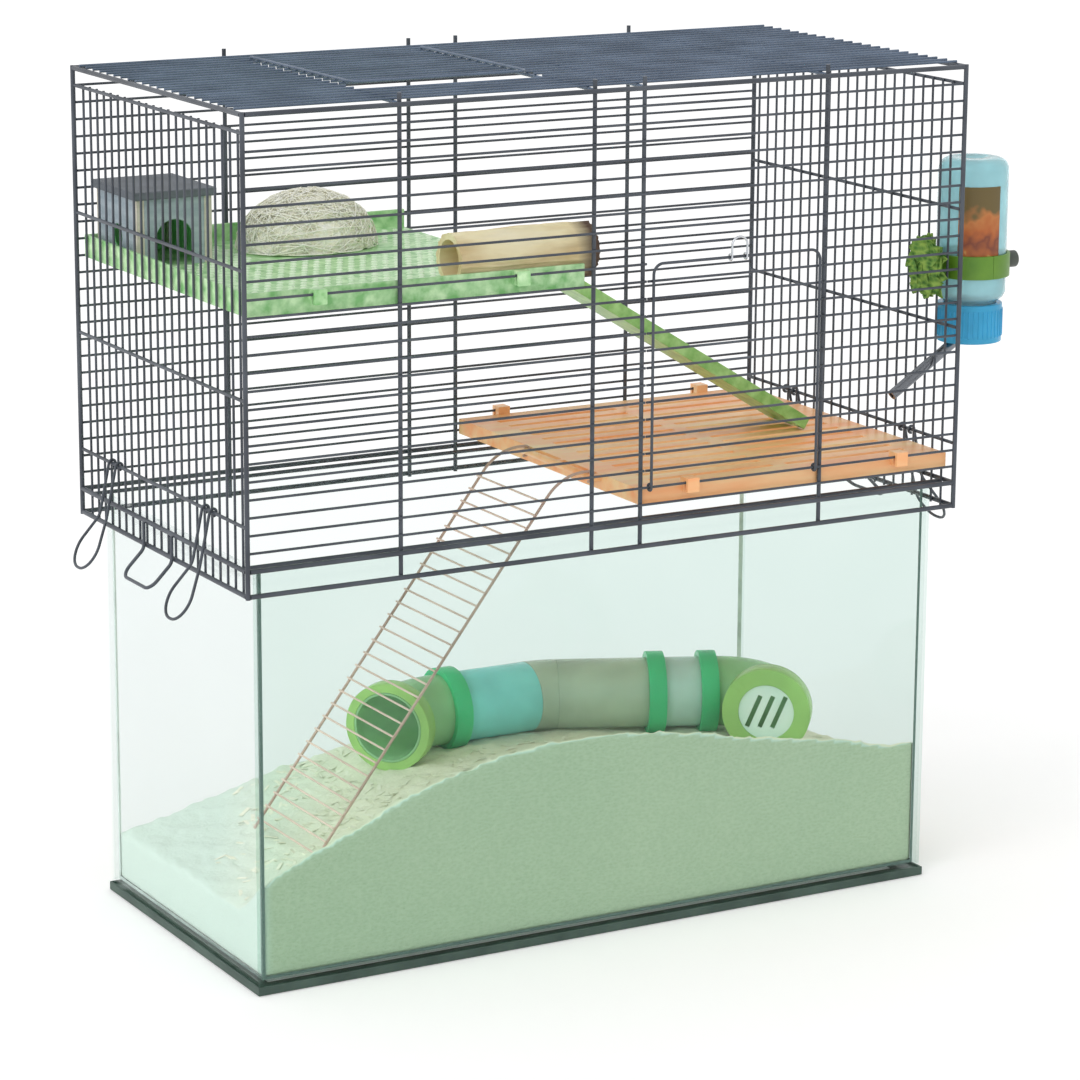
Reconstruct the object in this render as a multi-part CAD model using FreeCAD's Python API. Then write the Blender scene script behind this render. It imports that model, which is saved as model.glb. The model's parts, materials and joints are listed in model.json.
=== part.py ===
"""Rodent cage: a glass tank of bedding under a lift-off wire top with its furniture.

Millimetres, +Z up. The origin is the middle of the face that the tank stands on,
+X runs to the right along the front, and +Y runs to the back.
"""
import FreeCAD
import Part

import math
import os

os.makedirs("parts", exist_ok=True)
V = FreeCAD.Vector
Z_AXIS = V(0, 0, 1)
Y_AXIS = V(0, 1, 0)
X_AXIS = V(1, 0, 0)

# Clearances
SEAT_GAP = 0.3          # between a piece and the seat that it can leave
WELD_GAP = 0.02         # between two wires that are welded where they cross
EYE_CLEARANCE = 0.25    # between a bent wire eye and the wire that it turns on
PIN_CLEARANCE = 0.06    # between a pin and its hole
TINY = 1e-3             # lengths below this count as none

# Bent wire, shared by doors, latch and clips
EYE_END = 80.0          # degrees above level at which an eye's free end stops
CROWN_SHARE = 0.96      # rounding of a wire loop's end, as a share of its half width

# Glass tank
TANK_LENGTH = 574.0
TANK_DEPTH = 268.0
TANK_HEIGHT = 316.0
GLASS = 4.0
FLOOR_GLASS = 5.0
TRIM_HEIGHT = 6.6
TRIM_WALL = 1.6
TRIM_FLOOR = 4.6        # ledge that the floor pane stands on
TRIM_LEDGE = 12.0       # how far that ledge reaches in
BEAD = 2.5

# Wire top: frame, bars and dividers
OVERHANG_X = 12.0       # frame centre line outside the end panes
OVERHANG_Y = 14.0       # frame centre line outside the front and back panes
SKIRT = 15.0            # bottom rail below the rim of the glass
RAIL_GAP = 18.0         # between the two bottom rails
ROWS = 25               # spaces between the upper bottom rail and the top rail
ROW_PITCH = 12.8
SIDE_BARS = 22
FRAME_D = 3.6
BAR_D = 1.9
DIVIDER_D = 3.2
ROD_D = 2.6
REST_D = 3.0
DIVIDER_STUB = 8.0      # dividers stand proud of the top rail
END_SECTION = 121.7     # corner post to first divider
CENTRE_SECTION = 41.2   # between the two middle dividers
SIDE_ROD_DROPS = (12.8, 108.0, 199.0, 289.0)    # from the top rail; the last carries the clips

# Doors
HINGE_ROW = 2
DOOR_TOP_ROW = 15
TOP_HINGE_BAR = 20
TOP_EDGE_BAR = 7
TOP_GAP_BAR = 6         # bar left out in front of the top door, for the fingers
DOOR_WIRE_D = 2.2
DOOR_SIDE_GAP = 6.5     # divider centre to the door's frame wire
DOOR_BAR_GAP = 1.2      # divider surface to the ends of the door's bars
DOOR_CORNER = 8.0
LATCH_WIRE_D = 1.6
LATCH_HALF = 6.5
LATCH_REACH = 15.0

# Clips and locating loops on the two ends
CLIP_WIRE_D = 2.2
CLIP_LEG = 40.0
CLIP_HOOK = 42.0
CLIP_BOW = 25.0         # half width of the hook's round end
CLIP_KICK = 18.0        # degrees that the hook leans out from its legs
CLIP_LEAN = 12.0        # degrees that the legs lean out from the panel
CLIP_BAR = 5            # side bar, counted from each corner, that a clip straddles
LOOP_WIRE_D = 2.6
LOOP_HALF = 25.0
LOOP_DROP = 20.0        # below the bottom rail
LOOP_OUT = 18.0
LOOP_BEND = 9.0

# Green platform
PLATFORM_LENGTH = 268.0
PLATFORM_FLOOR = 3.0
PLATFORM_WALL = 2.5
PLATFORM_RIM = 17.0
PLATFORM_ROW = 15
PLATFORM_HOOKS = (53.0, 214.0)      # from its left end

# Orange shelf
SHELF_LENGTH = 272.0
SHELF_FLOOR = 3.0
SHELF_WALL = 2.5
SHELF_RIM = 12.0
SHELF_ROW = 2
SHELF_HOOKS = (46.0, 232.0)         # from its right end
SLOT_WIDTH = 6.0
SLOT_PITCH = 18.0
SLOT_MARGIN = 22.0
FURNITURE_GAP = 0.5     # between the furniture and the wires beside it
HOOK_WIDTH = 10.0
HOOK_WALL = 2.5
HOOK_DROP = 7.0

# Ladder
LADDER_WIDTH = 100.0
LADDER_Y = -26.0
LADDER_WIRE_D = 2.2
RUNG_D = 1.6
RUNG_PITCH = 11.5
LADDER_BAR_D = 5.0
LADDER_BAR_ROOM = 0.8   # between a rail's hook and the shelf's left edge
LADDER_TOP_RUN = 24.0   # level run before the ladder turns down
LADDER_SLOPE = 52.5
LADDER_BEND = 40.0
LADDER_HOOK_END = -110.0    # degrees: where a rail's hook stops under the bar
LADDER_FOOT_GAP = 6.0   # end of a rail's centre line above the bedding, along the rail
LUG = 4.0

# Ramp
RAMP_WIDTH = 46.0
RAMP_Y = 4.0
RAMP_LENGTH = 312.0
RAMP_DECK = 3.0
RAMP_SIDE = 10.0
RAMP_WALL = 2.5
RAMP_RIB = 1.6
RAMP_RIB_PITCH = 14.0
RAMP_PIN_D = 4.0
RAMP_PIN_OUT = 5.5      # pin centre outside the platform's right edge
RAMP_PIN_UP = 6.0       # pin centre above the platform's floor
RAMP_BARREL_D = 8.0

# What stands on the platform
LOG_D = 41.0
LOG_BORE = 29.0
LOG_LENGTH = 113.0
LOG_OVERHANG = 15.0     # past the platform's right edge
HOUSE_LENGTH = 60.0
HOUSE_DEPTH = 74.0
HOUSE_HEIGHT = 50.0
HOUSE_WALL = 2.5
HOUSE_POST = 6.0
HOUSE_DOOR = 30.0
HOUSE_DOOR_HEIGHT = 34.0
HOUSE_WINDOW = 18.0
ROOF_THICKNESS = 6.0
ROOF_EAVES = 3.0
HOUSE_INSET = 5.0       # from the platform's rim
NEST_LENGTH = 112.0
NEST_DEPTH = 84.0
NEST_HEIGHT = 45.0
NEST_X = 158.0          # nest middle from the platform's left end
NEST_Y = 88.0

# Tunnel in the tank
TUBE_D = 56.0
TUBE_WALL = 2.0
TUNNEL_Z = 126.0
RING_D = 66.0
RING_WIDTH = 14.0
END_RING_WIDTH = 14.0   # over the end elbow
END_RING_D = 70.0
COLLAR_D = 70.0
BLUE_START = -25.0
BLUE_LENGTH = 72.0
TUNNEL_Y = 74.0
LEFT_TURN = 40.0
LEFT_RADIUS = 75.0
BEND_TURN = 24.0
BEND_RADIUS = 60.0
CLEAR_LENGTH = 79.0
MINT_LENGTH = 42.0
END_TURN = 105.0
END_RADIUS = 38.0
CAP_PLATE = 2.4
CAP_LIP = 1.6           # end ring past the slotted plate
CAP_WINDOW = 44.0       # part of the plate that shows inside the end ring's lip
CAP_SLOT = 3.6
CAP_SLOT_LENGTH = 28.0
CAP_PITCH = 10.0
CAP_LEAN = 22.0         # degrees that the slots lean
RING_CLEARANCE = 0.1

# Bedding: height of its top at the front pane, where the bank along that pane ends, and at
# the back pane, at even steps from the left pane to the right one
BED_FRONT = (82.0, 110.0, 136.0, 152.0, 157.0, 155.0, 144.0, 131.5, 120.5, 111.5)
BED_LAYER = (52.0, 66.0, 82.0, 97.0, 105.0, 106.0, 104.0, 102.0, 97.0, 87.0)
BED_BACK = (50.0, 62.0, 78.0, 90.0, 96.0, 97.0, 95.0, 93.0, 86.0, 75.0)
BED_BANK = 38.0         # how far the bank reaches in from the front pane
BED_GAP = 0.3

# Water bottle
BOTTLE_D = 54.0
BOTTLE_HEIGHT = 104.0
BOTTLE_WALL = 1.5
BOTTLE_SHOULDER = 8.0
NECK_D = 40.0
NECK_LENGTH = 12.0
CAP_D = 50.0
CAP_HEIGHT = 30.0
SEAL = 2.0
BOTTLE_GAP = 4.0        # between the panel and the cap
BOTTLE_BAR = 2          # the bottle hangs between this side bar and the next
BOTTLE_DROP = 186.0     # cap's top edge below the top rail
SPOUT_D = 8.0
SPOUT_WALL = 0.8
SPOUT_SLOPE = 33.0
SPOUT_LENGTH = 84.0     # from the middle of the cap to the spout's mouth
SPOUT_START = 12.0      # from the middle of the cap to the spout's inner end
BALL_D = 6.0
HOLDER_WIDTH = 18.0
HOLDER_WALL = 2.5
HOLDER_UP = 30.0        # holder's middle above the cap's top edge
PAD_LENGTH = 58.0
PAD_HEIGHT = 58.0
PAD_THICKNESS = 9.0
KNOB_D = 13.0
KNOB_LENGTH = 11.0

# Places worked out from those sizes
FRAME_X = TANK_LENGTH / 2 + OVERHANG_X
FRAME_Y = TANK_DEPTH / 2 + OVERHANG_Y
RAIL_Z = TANK_HEIGHT - SKIRT
ROW_Z = RAIL_Z + RAIL_GAP
TOP_Z = ROW_Z + ROWS * ROW_PITCH
INNER_X = FRAME_X - FRAME_D / 2
INNER_Y = FRAME_Y - FRAME_D / 2
BAR_Y = INNER_Y + BAR_D / 2
DIVIDER_Y = INNER_Y - DIVIDER_D / 2
SIDE_BAR_X = INNER_X - BAR_D / 2
ROD_X = INNER_X + ROD_D / 2
SIDE_PITCH = 2 * FRAME_Y / (SIDE_BARS + 1)
TOP_BAR_Z = TOP_Z + FRAME_D / 2 + BAR_D / 2
TOP_ROD_Z = TOP_Z + FRAME_D / 2 - ROD_D / 2
OUTER_DIVIDER = FRAME_X - END_SECTION
INNER_DIVIDER = CENTRE_SECTION / 2
DIVIDERS = (-OUTER_DIVIDER, -INNER_DIVIDER, INNER_DIVIDER, OUTER_DIVIDER)
FURNITURE_Y = DIVIDER_Y - DIVIDER_D / 2 - FURNITURE_GAP
GLASS_FLOOR_Z = TRIM_FLOOR + FLOOR_GLASS
TUBE_BORE = TUBE_D - 2 * TUBE_WALL
INSIDE_X = TANK_LENGTH / 2 - GLASS
INSIDE_Y = TANK_DEPTH / 2 - GLASS
DOOR_EYE = BAR_D / 2 + EYE_CLEARANCE + DOOR_WIRE_D / 2


def row_z(row):
    return ROW_Z + row * ROW_PITCH


def side_y(bar_number):
    return -FRAME_Y + bar_number * SIDE_PITCH


PLATFORM_LEFT = -SIDE_BAR_X + BAR_D / 2 + FURNITURE_GAP
PLATFORM_RIGHT = PLATFORM_LEFT + PLATFORM_LENGTH
PLATFORM_TOP = row_z(PLATFORM_ROW) + BAR_D / 2 + SEAT_GAP + HOOK_WALL
PLATFORM_BOTTOM = PLATFORM_TOP - PLATFORM_RIM
PLATFORM_Z = PLATFORM_BOTTOM + PLATFORM_FLOOR
SHELF_RIGHT = SIDE_BAR_X - BAR_D / 2 - FURNITURE_GAP
SHELF_LEFT = SHELF_RIGHT - SHELF_LENGTH
SHELF_Z = row_z(SHELF_ROW) - HOOK_WALL
SHELF_BOTTOM = SHELF_Z - SHELF_RIM
PIN_X = PLATFORM_RIGHT + RAMP_PIN_OUT
PIN_Z = PLATFORM_Z + RAMP_PIN_UP
LADDER_EYE = LADDER_BAR_D / 2 + EYE_CLEARANCE + LADDER_WIRE_D / 2
LADDER_BAR_X = SHELF_LEFT - LADDER_BAR_ROOM - LADDER_WIRE_D / 2 - LADDER_EYE
LADDER_BAR_Z = SHELF_Z - LADDER_BAR_D / 2
RAMP_HALF = RAMP_WIDTH / 2 + RAMP_WALL


def save(name, *solids):
    shape = solids[0] if len(solids) == 1 else Part.makeCompound(list(solids))
    for solid in shape.Solids:
        if not solid.isValid() or solid.Volume <= 0:
            print("CHECK", name, solid.Volume)
    shape.exportStep(f"parts/{name}.step")
    print(f"{name}: {len(shape.Solids)} solids, {shape.Volume / 1000:.2f} cm3")


def box(x0, y0, z0, x1, y1, z1):
    return Part.makeBox(x1 - x0, y1 - y0, z1 - z0, V(x0, y0, z0))


def bar(start, end, diameter):
    run = end - start
    return Part.makeCylinder(diameter / 2, run.Length, start, run)


def x_bar(x0, x1, y, z, diameter):
    return bar(V(x0, y, z), V(x1, y, z), diameter)


def y_bar(x, y0, y1, z, diameter):
    return bar(V(x, y0, z), V(x, y1, z), diameter)


def z_bar(x, y, z0, z1, diameter):
    return bar(V(x, y, z0), V(x, y, z1), diameter)


def arc(centre, u, v, radius, start, end):
    """Arc in the plane of u and v, angles in degrees measured from u towards v."""
    def at(angle):
        turn = math.radians(angle)
        return centre + u * (radius * math.cos(turn)) + v * (radius * math.sin(turn))
    return Part.Arc(at(start), at((start + end) / 2), at(end)).toShape()


def bent_path(points, radius):
    """Straight runs joined by tangent arcs of one radius."""
    edges = []
    here = points[0]
    for before, corner, after in zip(points, points[1:], points[2:]):
        incoming = (corner - before).normalize()
        outgoing = (after - corner).normalize()
        turn = incoming.getAngle(outgoing)
        reach = radius * math.tan(turn / 2)
        enter = corner - incoming * reach
        leave = corner + outgoing * reach
        inward = (outgoing - incoming).normalize()
        middle = corner + inward * (radius / math.cos(turn / 2) - radius)
        if (enter - here).Length > TINY:
            edges.append(Part.LineSegment(here, enter).toShape())
        edges.append(Part.Arc(enter, middle, leave).toShape())
        here = leave
    edges.append(Part.LineSegment(here, points[-1]).toShape())
    return edges


def sweep(edges, diameter):
    first = edges[0]
    start = first.valueAt(first.FirstParameter)
    heading = first.tangentAt(first.FirstParameter)
    profile = Part.Wire(Part.Circle(start, heading, diameter / 2).toShape())
    return Part.Wire(edges).makePipeShell([profile], True, False)


def eyed_wire(half, points, eye, diameter, bend):
    """Wire with an eye at each end that turns on a bar along local X, and legs up local Z.

    The legs stand at -eye in local Y; points are the corners beyond the left leg's foot.
    """
    turns = ((EYE_END, 0), (0, -90), (-90, -180))
    edges = [arc(V(-half, 0, 0), Y_AXIS, Z_AXIS, eye, start, end) for start, end in turns]
    left = [V(-half, -eye, 0)] + points
    right = [V(-p.x, p.y, p.z) for p in reversed(left)]
    edges += bent_path(left + right, bend)
    edges += [arc(V(half, 0, 0), Y_AXIS, Z_AXIS, eye, end, start) for start, end in reversed(turns)]
    return sweep(edges, diameter)


def placed(shape, x_to, y_to, z_to, at):
    """Turn local X, Y and Z to the given directions and move the local origin."""
    moved = shape.copy()
    turn = FreeCAD.Rotation(x_to, y_to, z_to, "XYZ")
    moved.Placement = FreeCAD.Placement(at, turn).multiply(shape.Placement)
    return moved


def tank():
    half_x = TANK_LENGTH / 2
    half_y = TANK_DEPTH / 2
    outer_x = half_x + SEAT_GAP + TRIM_WALL
    outer_y = half_y + SEAT_GAP + TRIM_WALL
    trim = box(-outer_x, -outer_y, 0, outer_x, outer_y, TRIM_HEIGHT)
    trim = trim.cut(box(-half_x - SEAT_GAP, -half_y - SEAT_GAP, TRIM_FLOOR,
                        half_x + SEAT_GAP, half_y + SEAT_GAP, TRIM_HEIGHT))
    trim = trim.cut(box(-half_x + TRIM_LEDGE, -half_y + TRIM_LEDGE, 0,
                        half_x - TRIM_LEDGE, half_y - TRIM_LEDGE, TRIM_FLOOR))
    save("base_trim", trim)
    save("floor_pane", box(-half_x, -half_y, TRIM_FLOOR, half_x, half_y, GLASS_FLOOR_Z))
    save("front_pane", box(-half_x, -half_y, GLASS_FLOOR_Z, half_x, -INSIDE_Y, TANK_HEIGHT))
    save("back_pane", box(-half_x, INSIDE_Y, GLASS_FLOOR_Z, half_x, half_y, TANK_HEIGHT))
    save("left_pane", box(-half_x, -INSIDE_Y, GLASS_FLOOR_Z, -INSIDE_X, INSIDE_Y, TANK_HEIGHT))
    save("right_pane", box(INSIDE_X, -INSIDE_Y, GLASS_FLOOR_Z, half_x, INSIDE_Y, TANK_HEIGHT))


def silicone_beads():
    """Three-cornered beads up the four inside corners and round the inside of the floor."""
    def rectangle(x, y, z):
        return Part.makePolygon([V(-x, -y, z), V(x, -y, z), V(x, y, z), V(-x, y, z), V(-x, -y, z)])
    low = rectangle(INSIDE_X - BEAD, INSIDE_Y - BEAD, GLASS_FLOOR_Z)
    high = rectangle(INSIDE_X, INSIDE_Y, GLASS_FLOOR_Z + BEAD)
    well = Part.makeLoft([low, high], True, True)
    ring = box(-INSIDE_X, -INSIDE_Y, GLASS_FLOOR_Z, INSIDE_X, INSIDE_Y, GLASS_FLOOR_Z + BEAD).cut(well)
    beads = [ring]
    for sx in (-1, 1):
        for sy in (-1, 1):
            z = GLASS_FLOOR_Z + BEAD
            corner = V(sx * INSIDE_X, sy * INSIDE_Y, z)
            along_x = corner - V(sx * BEAD, 0, 0)
            along_y = corner - V(0, sy * BEAD, 0)
            face = Part.Face(Part.makePolygon([corner, along_x, along_y, corner]))
            beads.append(face.extrude(V(0, 0, TANK_HEIGHT - z)))
    return beads


def bedding(hollows):
    """Layer of bedding and the bank heaped along the front pane, less what stands in them."""
    x0 = -INSIDE_X + BED_GAP
    x1 = INSIDE_X - BED_GAP

    def heap(y0, y0_heights, y1, y1_heights):
        sections = []
        for number, (near, far) in enumerate(zip(y0_heights, y1_heights)):
            x = x0 + (x1 - x0) * number / (len(y0_heights) - 1)
            corners = [(y0, GLASS_FLOOR_Z), (y1, GLASS_FLOOR_Z), (y1, far), (y0, near), (y0, GLASS_FLOOR_Z)]
            sections.append(Part.makePolygon([V(x, y, z) for y, z in corners]))
        return Part.makeLoft(sections, True, False)

    front = -INSIDE_Y + BED_GAP
    foot = front + BED_BANK
    bank = heap(front, BED_FRONT, foot - WELD_GAP, BED_LAYER)
    layer = heap(foot, BED_LAYER, INSIDE_Y - BED_GAP, BED_BACK)
    return Part.makeCompound([heaped.cut(hollows) for heaped in (bank, layer)])


def long_panel(side, with_door):
    """Front (side -1) or back (side 1) panel: level bars outside four dividers."""
    y = side * BAR_Y
    wires = [x_bar(-INNER_X, INNER_X, side * FRAME_Y, z, FRAME_D) for z in (RAIL_Z, ROW_Z, TOP_Z)]
    for x in DIVIDERS:
        wires.append(z_bar(x, side * DIVIDER_Y, RAIL_Z - FRAME_D / 2, TOP_Z + DIVIDER_STUB, DIVIDER_D))
    for row in range(1, ROWS):
        if with_door and HINGE_ROW < row <= DOOR_TOP_ROW:
            wires.append(x_bar(-INNER_X, INNER_DIVIDER + DIVIDER_D / 2, y, row_z(row), BAR_D))
            wires.append(x_bar(OUTER_DIVIDER - DIVIDER_D / 2, INNER_X, y, row_z(row), BAR_D))
        else:
            wires.append(x_bar(-INNER_X, INNER_X, y, row_z(row), BAR_D))
    return wires


def side_panel(side):
    """Left (side -1) or right (side 1) panel: upright bars inside a frame and cross rods."""
    rod_heights = [TOP_Z - drop for drop in SIDE_ROD_DROPS]
    wires = [z_bar(side * FRAME_X, end * FRAME_Y, RAIL_Z - FRAME_D / 2, TOP_Z + FRAME_D / 2, FRAME_D)
             for end in (-1, 1)]
    wires += [y_bar(side * FRAME_X, -INNER_Y, INNER_Y, z, FRAME_D) for z in (RAIL_Z, ROW_Z, TOP_Z)]
    wires += [y_bar(side * ROD_X, -INNER_Y, INNER_Y, z, ROD_D) for z in rod_heights]
    bar_top = rod_heights[0] + ROD_D / 2
    for number in range(1, SIDE_BARS + 1):
        wires.append(z_bar(side * SIDE_BAR_X, side_y(number), RAIL_Z - FRAME_D / 2, bar_top, BAR_D))
    return wires


def top_panel():
    """Level bars along X on the frame, open between the two left dividers for the door."""
    rod_end = DIVIDER_Y - DIVIDER_D / 2
    wires = [y_bar(x, -rod_end, rod_end, TOP_ROD_Z, ROD_D) for x in DIVIDERS]
    for number in range(1, SIDE_BARS + 1):
        y = side_y(number)
        if TOP_GAP_BAR <= number < TOP_HINGE_BAR:
            wires.append(x_bar(-FRAME_X, -OUTER_DIVIDER + DIVIDER_D / 2, y, TOP_BAR_Z, BAR_D))
            wires.append(x_bar(-INNER_DIVIDER - DIVIDER_D / 2, FRAME_X, y, TOP_BAR_Z, BAR_D))
        else:
            wires.append(x_bar(-FRAME_X, FRAME_X, y, TOP_BAR_Z, BAR_D))
    return wires


def door(reach, bar_places):
    """Wire door in its local frame: hinge bar along X at the origin, door up Z, outside at -Y."""
    half = (OUTER_DIVIDER - INNER_DIVIDER) / 2 - DOOR_SIDE_GAP
    frame = eyed_wire(half, [V(-half, -DOOR_EYE, reach)], DOOR_EYE, DOOR_WIRE_D, DOOR_CORNER)
    bar_half = (OUTER_DIVIDER - INNER_DIVIDER - DIVIDER_D) / 2 - DOOR_BAR_GAP
    bar_y = -DOOR_EYE + DOOR_WIRE_D / 2 + WELD_GAP + BAR_D / 2
    return [frame] + [x_bar(-bar_half, bar_half, bar_y, z, BAR_D) for z in bar_places]


def doors():
    centre = (OUTER_DIVIDER + INNER_DIVIDER) / 2
    reach = row_z(DOOR_TOP_ROW) - row_z(HINGE_ROW)
    places = [row_z(row) - row_z(HINGE_ROW) for row in range(HINGE_ROW + 1, DOOR_TOP_ROW)]
    front_hinge = V(centre, -BAR_Y, row_z(HINGE_ROW))
    front = [placed(w, X_AXIS, Y_AXIS, Z_AXIS, front_hinge) for w in door(reach, places)]
    save("front_door", *front)
    latch_eye = DOOR_WIRE_D / 2 + EYE_CLEARANCE + LATCH_WIRE_D / 2
    latch_top = [V(-LATCH_HALF, -latch_eye, LATCH_REACH)]
    latch = eyed_wire(LATCH_HALF, latch_top, latch_eye, LATCH_WIRE_D, LATCH_HALF * CROWN_SHARE)
    latch_at = front_hinge + V(0, -DOOR_EYE, reach)
    save("door_latch_loop", placed(latch, X_AXIS, Y_AXIS, Z_AXIS, latch_at))
    reach = side_y(TOP_HINGE_BAR) - side_y(TOP_EDGE_BAR)
    places = [n * SIDE_PITCH for n in range(1, TOP_HINGE_BAR - TOP_EDGE_BAR)]
    hinge = V(-centre, side_y(TOP_HINGE_BAR), TOP_BAR_Z)
    top = [placed(w, -X_AXIS, -Z_AXIS, -Y_AXIS, hinge) for w in door(reach, places)]
    save("top_door", *top)


def side_clips():
    """Bent wire clips that swing on the lowest cross rod of each end panel."""
    eye = ROD_D / 2 + EYE_CLEARANCE + CLIP_WIRE_D / 2
    half = SIDE_PITCH / 2
    kick = math.radians(CLIP_KICK)
    knee = V(-half, -eye, CLIP_LEG)
    tip = V(-CLIP_BOW, -eye - CLIP_HOOK * math.sin(kick), CLIP_LEG + CLIP_HOOK * math.cos(kick))
    turn = (tip - knee).getAngle(X_AXIS)
    bend = CLIP_BOW * CROWN_SHARE / math.tan(turn / 2)
    clip = eyed_wire(half, [knee, tip], eye, CLIP_WIRE_D, bend)
    clip.rotate(V(0, 0, 0), X_AXIS, CLIP_LEAN)
    z = TOP_Z - SIDE_ROD_DROPS[-1]
    for side, name in ((-1, "left"), (1, "right")):
        for number, end in ((CLIP_BAR, "front"), (SIDE_BARS + 1 - CLIP_BAR, "back")):
            at = V(side * ROD_X, side_y(number), z)
            save(f"{name}_{end}_clip", placed(clip, -side * Y_AXIS, -side * X_AXIS, -Z_AXIS, at))


def locating_loops():
    """Fixed wire loops under the middle of each end panel, outside the glass."""
    loops = []
    for side in (-1, 1):
        near = side * (FRAME_X + FRAME_D / 2 + LOOP_WIRE_D / 2 + WELD_GAP)
        far = near + side * LOOP_OUT
        low = RAIL_Z - LOOP_DROP
        points = [V(near, LOOP_HALF, ROW_Z),
                  V(near, LOOP_HALF, RAIL_Z - FRAME_D / 2),
                  V(far, LOOP_HALF, low)]
        points += [V(p.x, -p.y, p.z) for p in reversed(points)]
        loops.append(sweep(bent_path(points, LOOP_BEND), LOOP_WIRE_D))
    return loops


def rest_wires():
    """Two long wires that carry the wire top on the rims of the front and back panes."""
    z = TANK_HEIGHT + SEAT_GAP + REST_D / 2
    y = TANK_DEPTH / 2 - GLASS / 2
    return [x_bar(-INNER_X, INNER_X, side * y, z, REST_D) for side in (-1, 1)]


def rim_hook(x, side, wire_z):
    """Moulded hook over a panel bar, joined to the rim of a platform or shelf."""
    top = wire_z + BAR_D / 2 + SEAT_GAP + HOOK_WALL
    near = FURNITURE_Y - HOOK_WALL
    slot_in = BAR_Y - BAR_D / 2 - SEAT_GAP
    slot_out = BAR_Y + BAR_D / 2 + SEAT_GAP
    hook = box(x - HOOK_WIDTH / 2, near, wire_z - HOOK_DROP,
               x + HOOK_WIDTH / 2, slot_out + HOOK_WALL, top)
    slot = box(x - HOOK_WIDTH / 2, slot_in, wire_z - HOOK_DROP,
               x + HOOK_WIDTH / 2, slot_out, top - HOOK_WALL)
    hook = hook.cut(slot)
    return hook if side > 0 else hook.mirror(V(0, 0, 0), Y_AXIS)


def flat_face(wires):
    """Flat face inside the first wire, with the other wires as its holes."""
    return Part.makeFace(wires, "Part::FaceMakerBullseye")


def fused(solids):
    return solids[0].multiFuse(solids[1:]).removeSplitter()


def spread(low, high, pitch, margin):
    """Evenly spaced places, centred between two ends."""
    count = int((high - low - 2 * margin) // pitch) + 1
    middle = (low + high) / 2
    return [middle + (n - (count - 1) / 2) * pitch for n in range(count)]


def platform():
    """Tray with a rim on three sides, wire hooks and the ramp's two hinge lugs."""
    floor = box(PLATFORM_LEFT, -FURNITURE_Y, PLATFORM_BOTTOM, PLATFORM_RIGHT, FURNITURE_Y, PLATFORM_Z)
    rim = [box(PLATFORM_LEFT, -FURNITURE_Y, PLATFORM_Z,
               PLATFORM_LEFT + PLATFORM_WALL, FURNITURE_Y, PLATFORM_TOP)]
    for y in (-FURNITURE_Y, FURNITURE_Y - PLATFORM_WALL):
        rim.append(box(PLATFORM_LEFT, y, PLATFORM_Z, PLATFORM_RIGHT, y + PLATFORM_WALL, PLATFORM_TOP))
    lugs = []
    for side in (-1, 1):
        near = RAMP_Y + side * (RAMP_HALF + SEAT_GAP)
        low, high = sorted((near, near + side * LUG))
        lug = box(PLATFORM_RIGHT - LUG, low, PLATFORM_BOTTOM, PIN_X, high, PIN_Z + RAMP_BARREL_D / 2)
        lug = lug.fuse(y_bar(PIN_X, low, high, PIN_Z, RAMP_BARREL_D))
        lugs.append(lug.cut(y_bar(PIN_X, low, high, PIN_Z, RAMP_PIN_D + 2 * PIN_CLEARANCE)))
    hooks = [rim_hook(PLATFORM_LEFT + x, side, row_z(PLATFORM_ROW))
             for x in PLATFORM_HOOKS for side in (-1, 1)]
    return fused([floor] + rim + lugs + hooks)


def shelf():
    """Slatted shelf with a skirt, wire hooks and the bar that the ladder hangs on."""
    body = box(SHELF_LEFT, -FURNITURE_Y, SHELF_BOTTOM, SHELF_RIGHT, FURNITURE_Y, SHELF_Z)
    under = box(SHELF_LEFT + SHELF_WALL, -FURNITURE_Y + SHELF_WALL, SHELF_BOTTOM,
                SHELF_RIGHT - SHELF_WALL, FURNITURE_Y - SHELF_WALL, SHELF_Z - SHELF_FLOOR)
    body = body.cut(under)
    middle = (SHELF_LEFT + SHELF_RIGHT) / 2
    slots = []
    for y in spread(-FURNITURE_Y, FURNITURE_Y, SLOT_PITCH, SLOT_MARGIN):
        for x0, x1 in ((SHELF_LEFT + SLOT_MARGIN, middle - SLOT_WIDTH),
                       (middle + SLOT_WIDTH, SHELF_RIGHT - SLOT_MARGIN)):
            slots.append(box(x0, y - SLOT_WIDTH / 2, SHELF_Z - SHELF_FLOOR, x1, y + SLOT_WIDTH / 2, SHELF_Z))
    body = body.cut(Part.makeCompound(slots))
    reach = LADDER_WIDTH / 2 + LADDER_EYE
    pieces = [body, y_bar(LADDER_BAR_X, LADDER_Y - reach - LUG, LADDER_Y + reach + LUG,
                          LADDER_BAR_Z, LADDER_BAR_D)]
    for y in (LADDER_Y - reach - LUG, LADDER_Y - LUG / 2, LADDER_Y + reach):
        pieces.append(box(LADDER_BAR_X, y, LADDER_BAR_Z - LADDER_BAR_D / 2,
                          SHELF_LEFT + SHELF_WALL, y + LUG, LADDER_BAR_Z + LADDER_BAR_D / 2))
    pieces += [rim_hook(SHELF_RIGHT - x, side, row_z(SHELF_ROW))
               for x in SHELF_HOOKS for side in (-1, 1)]
    return fused(pieces)


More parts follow.
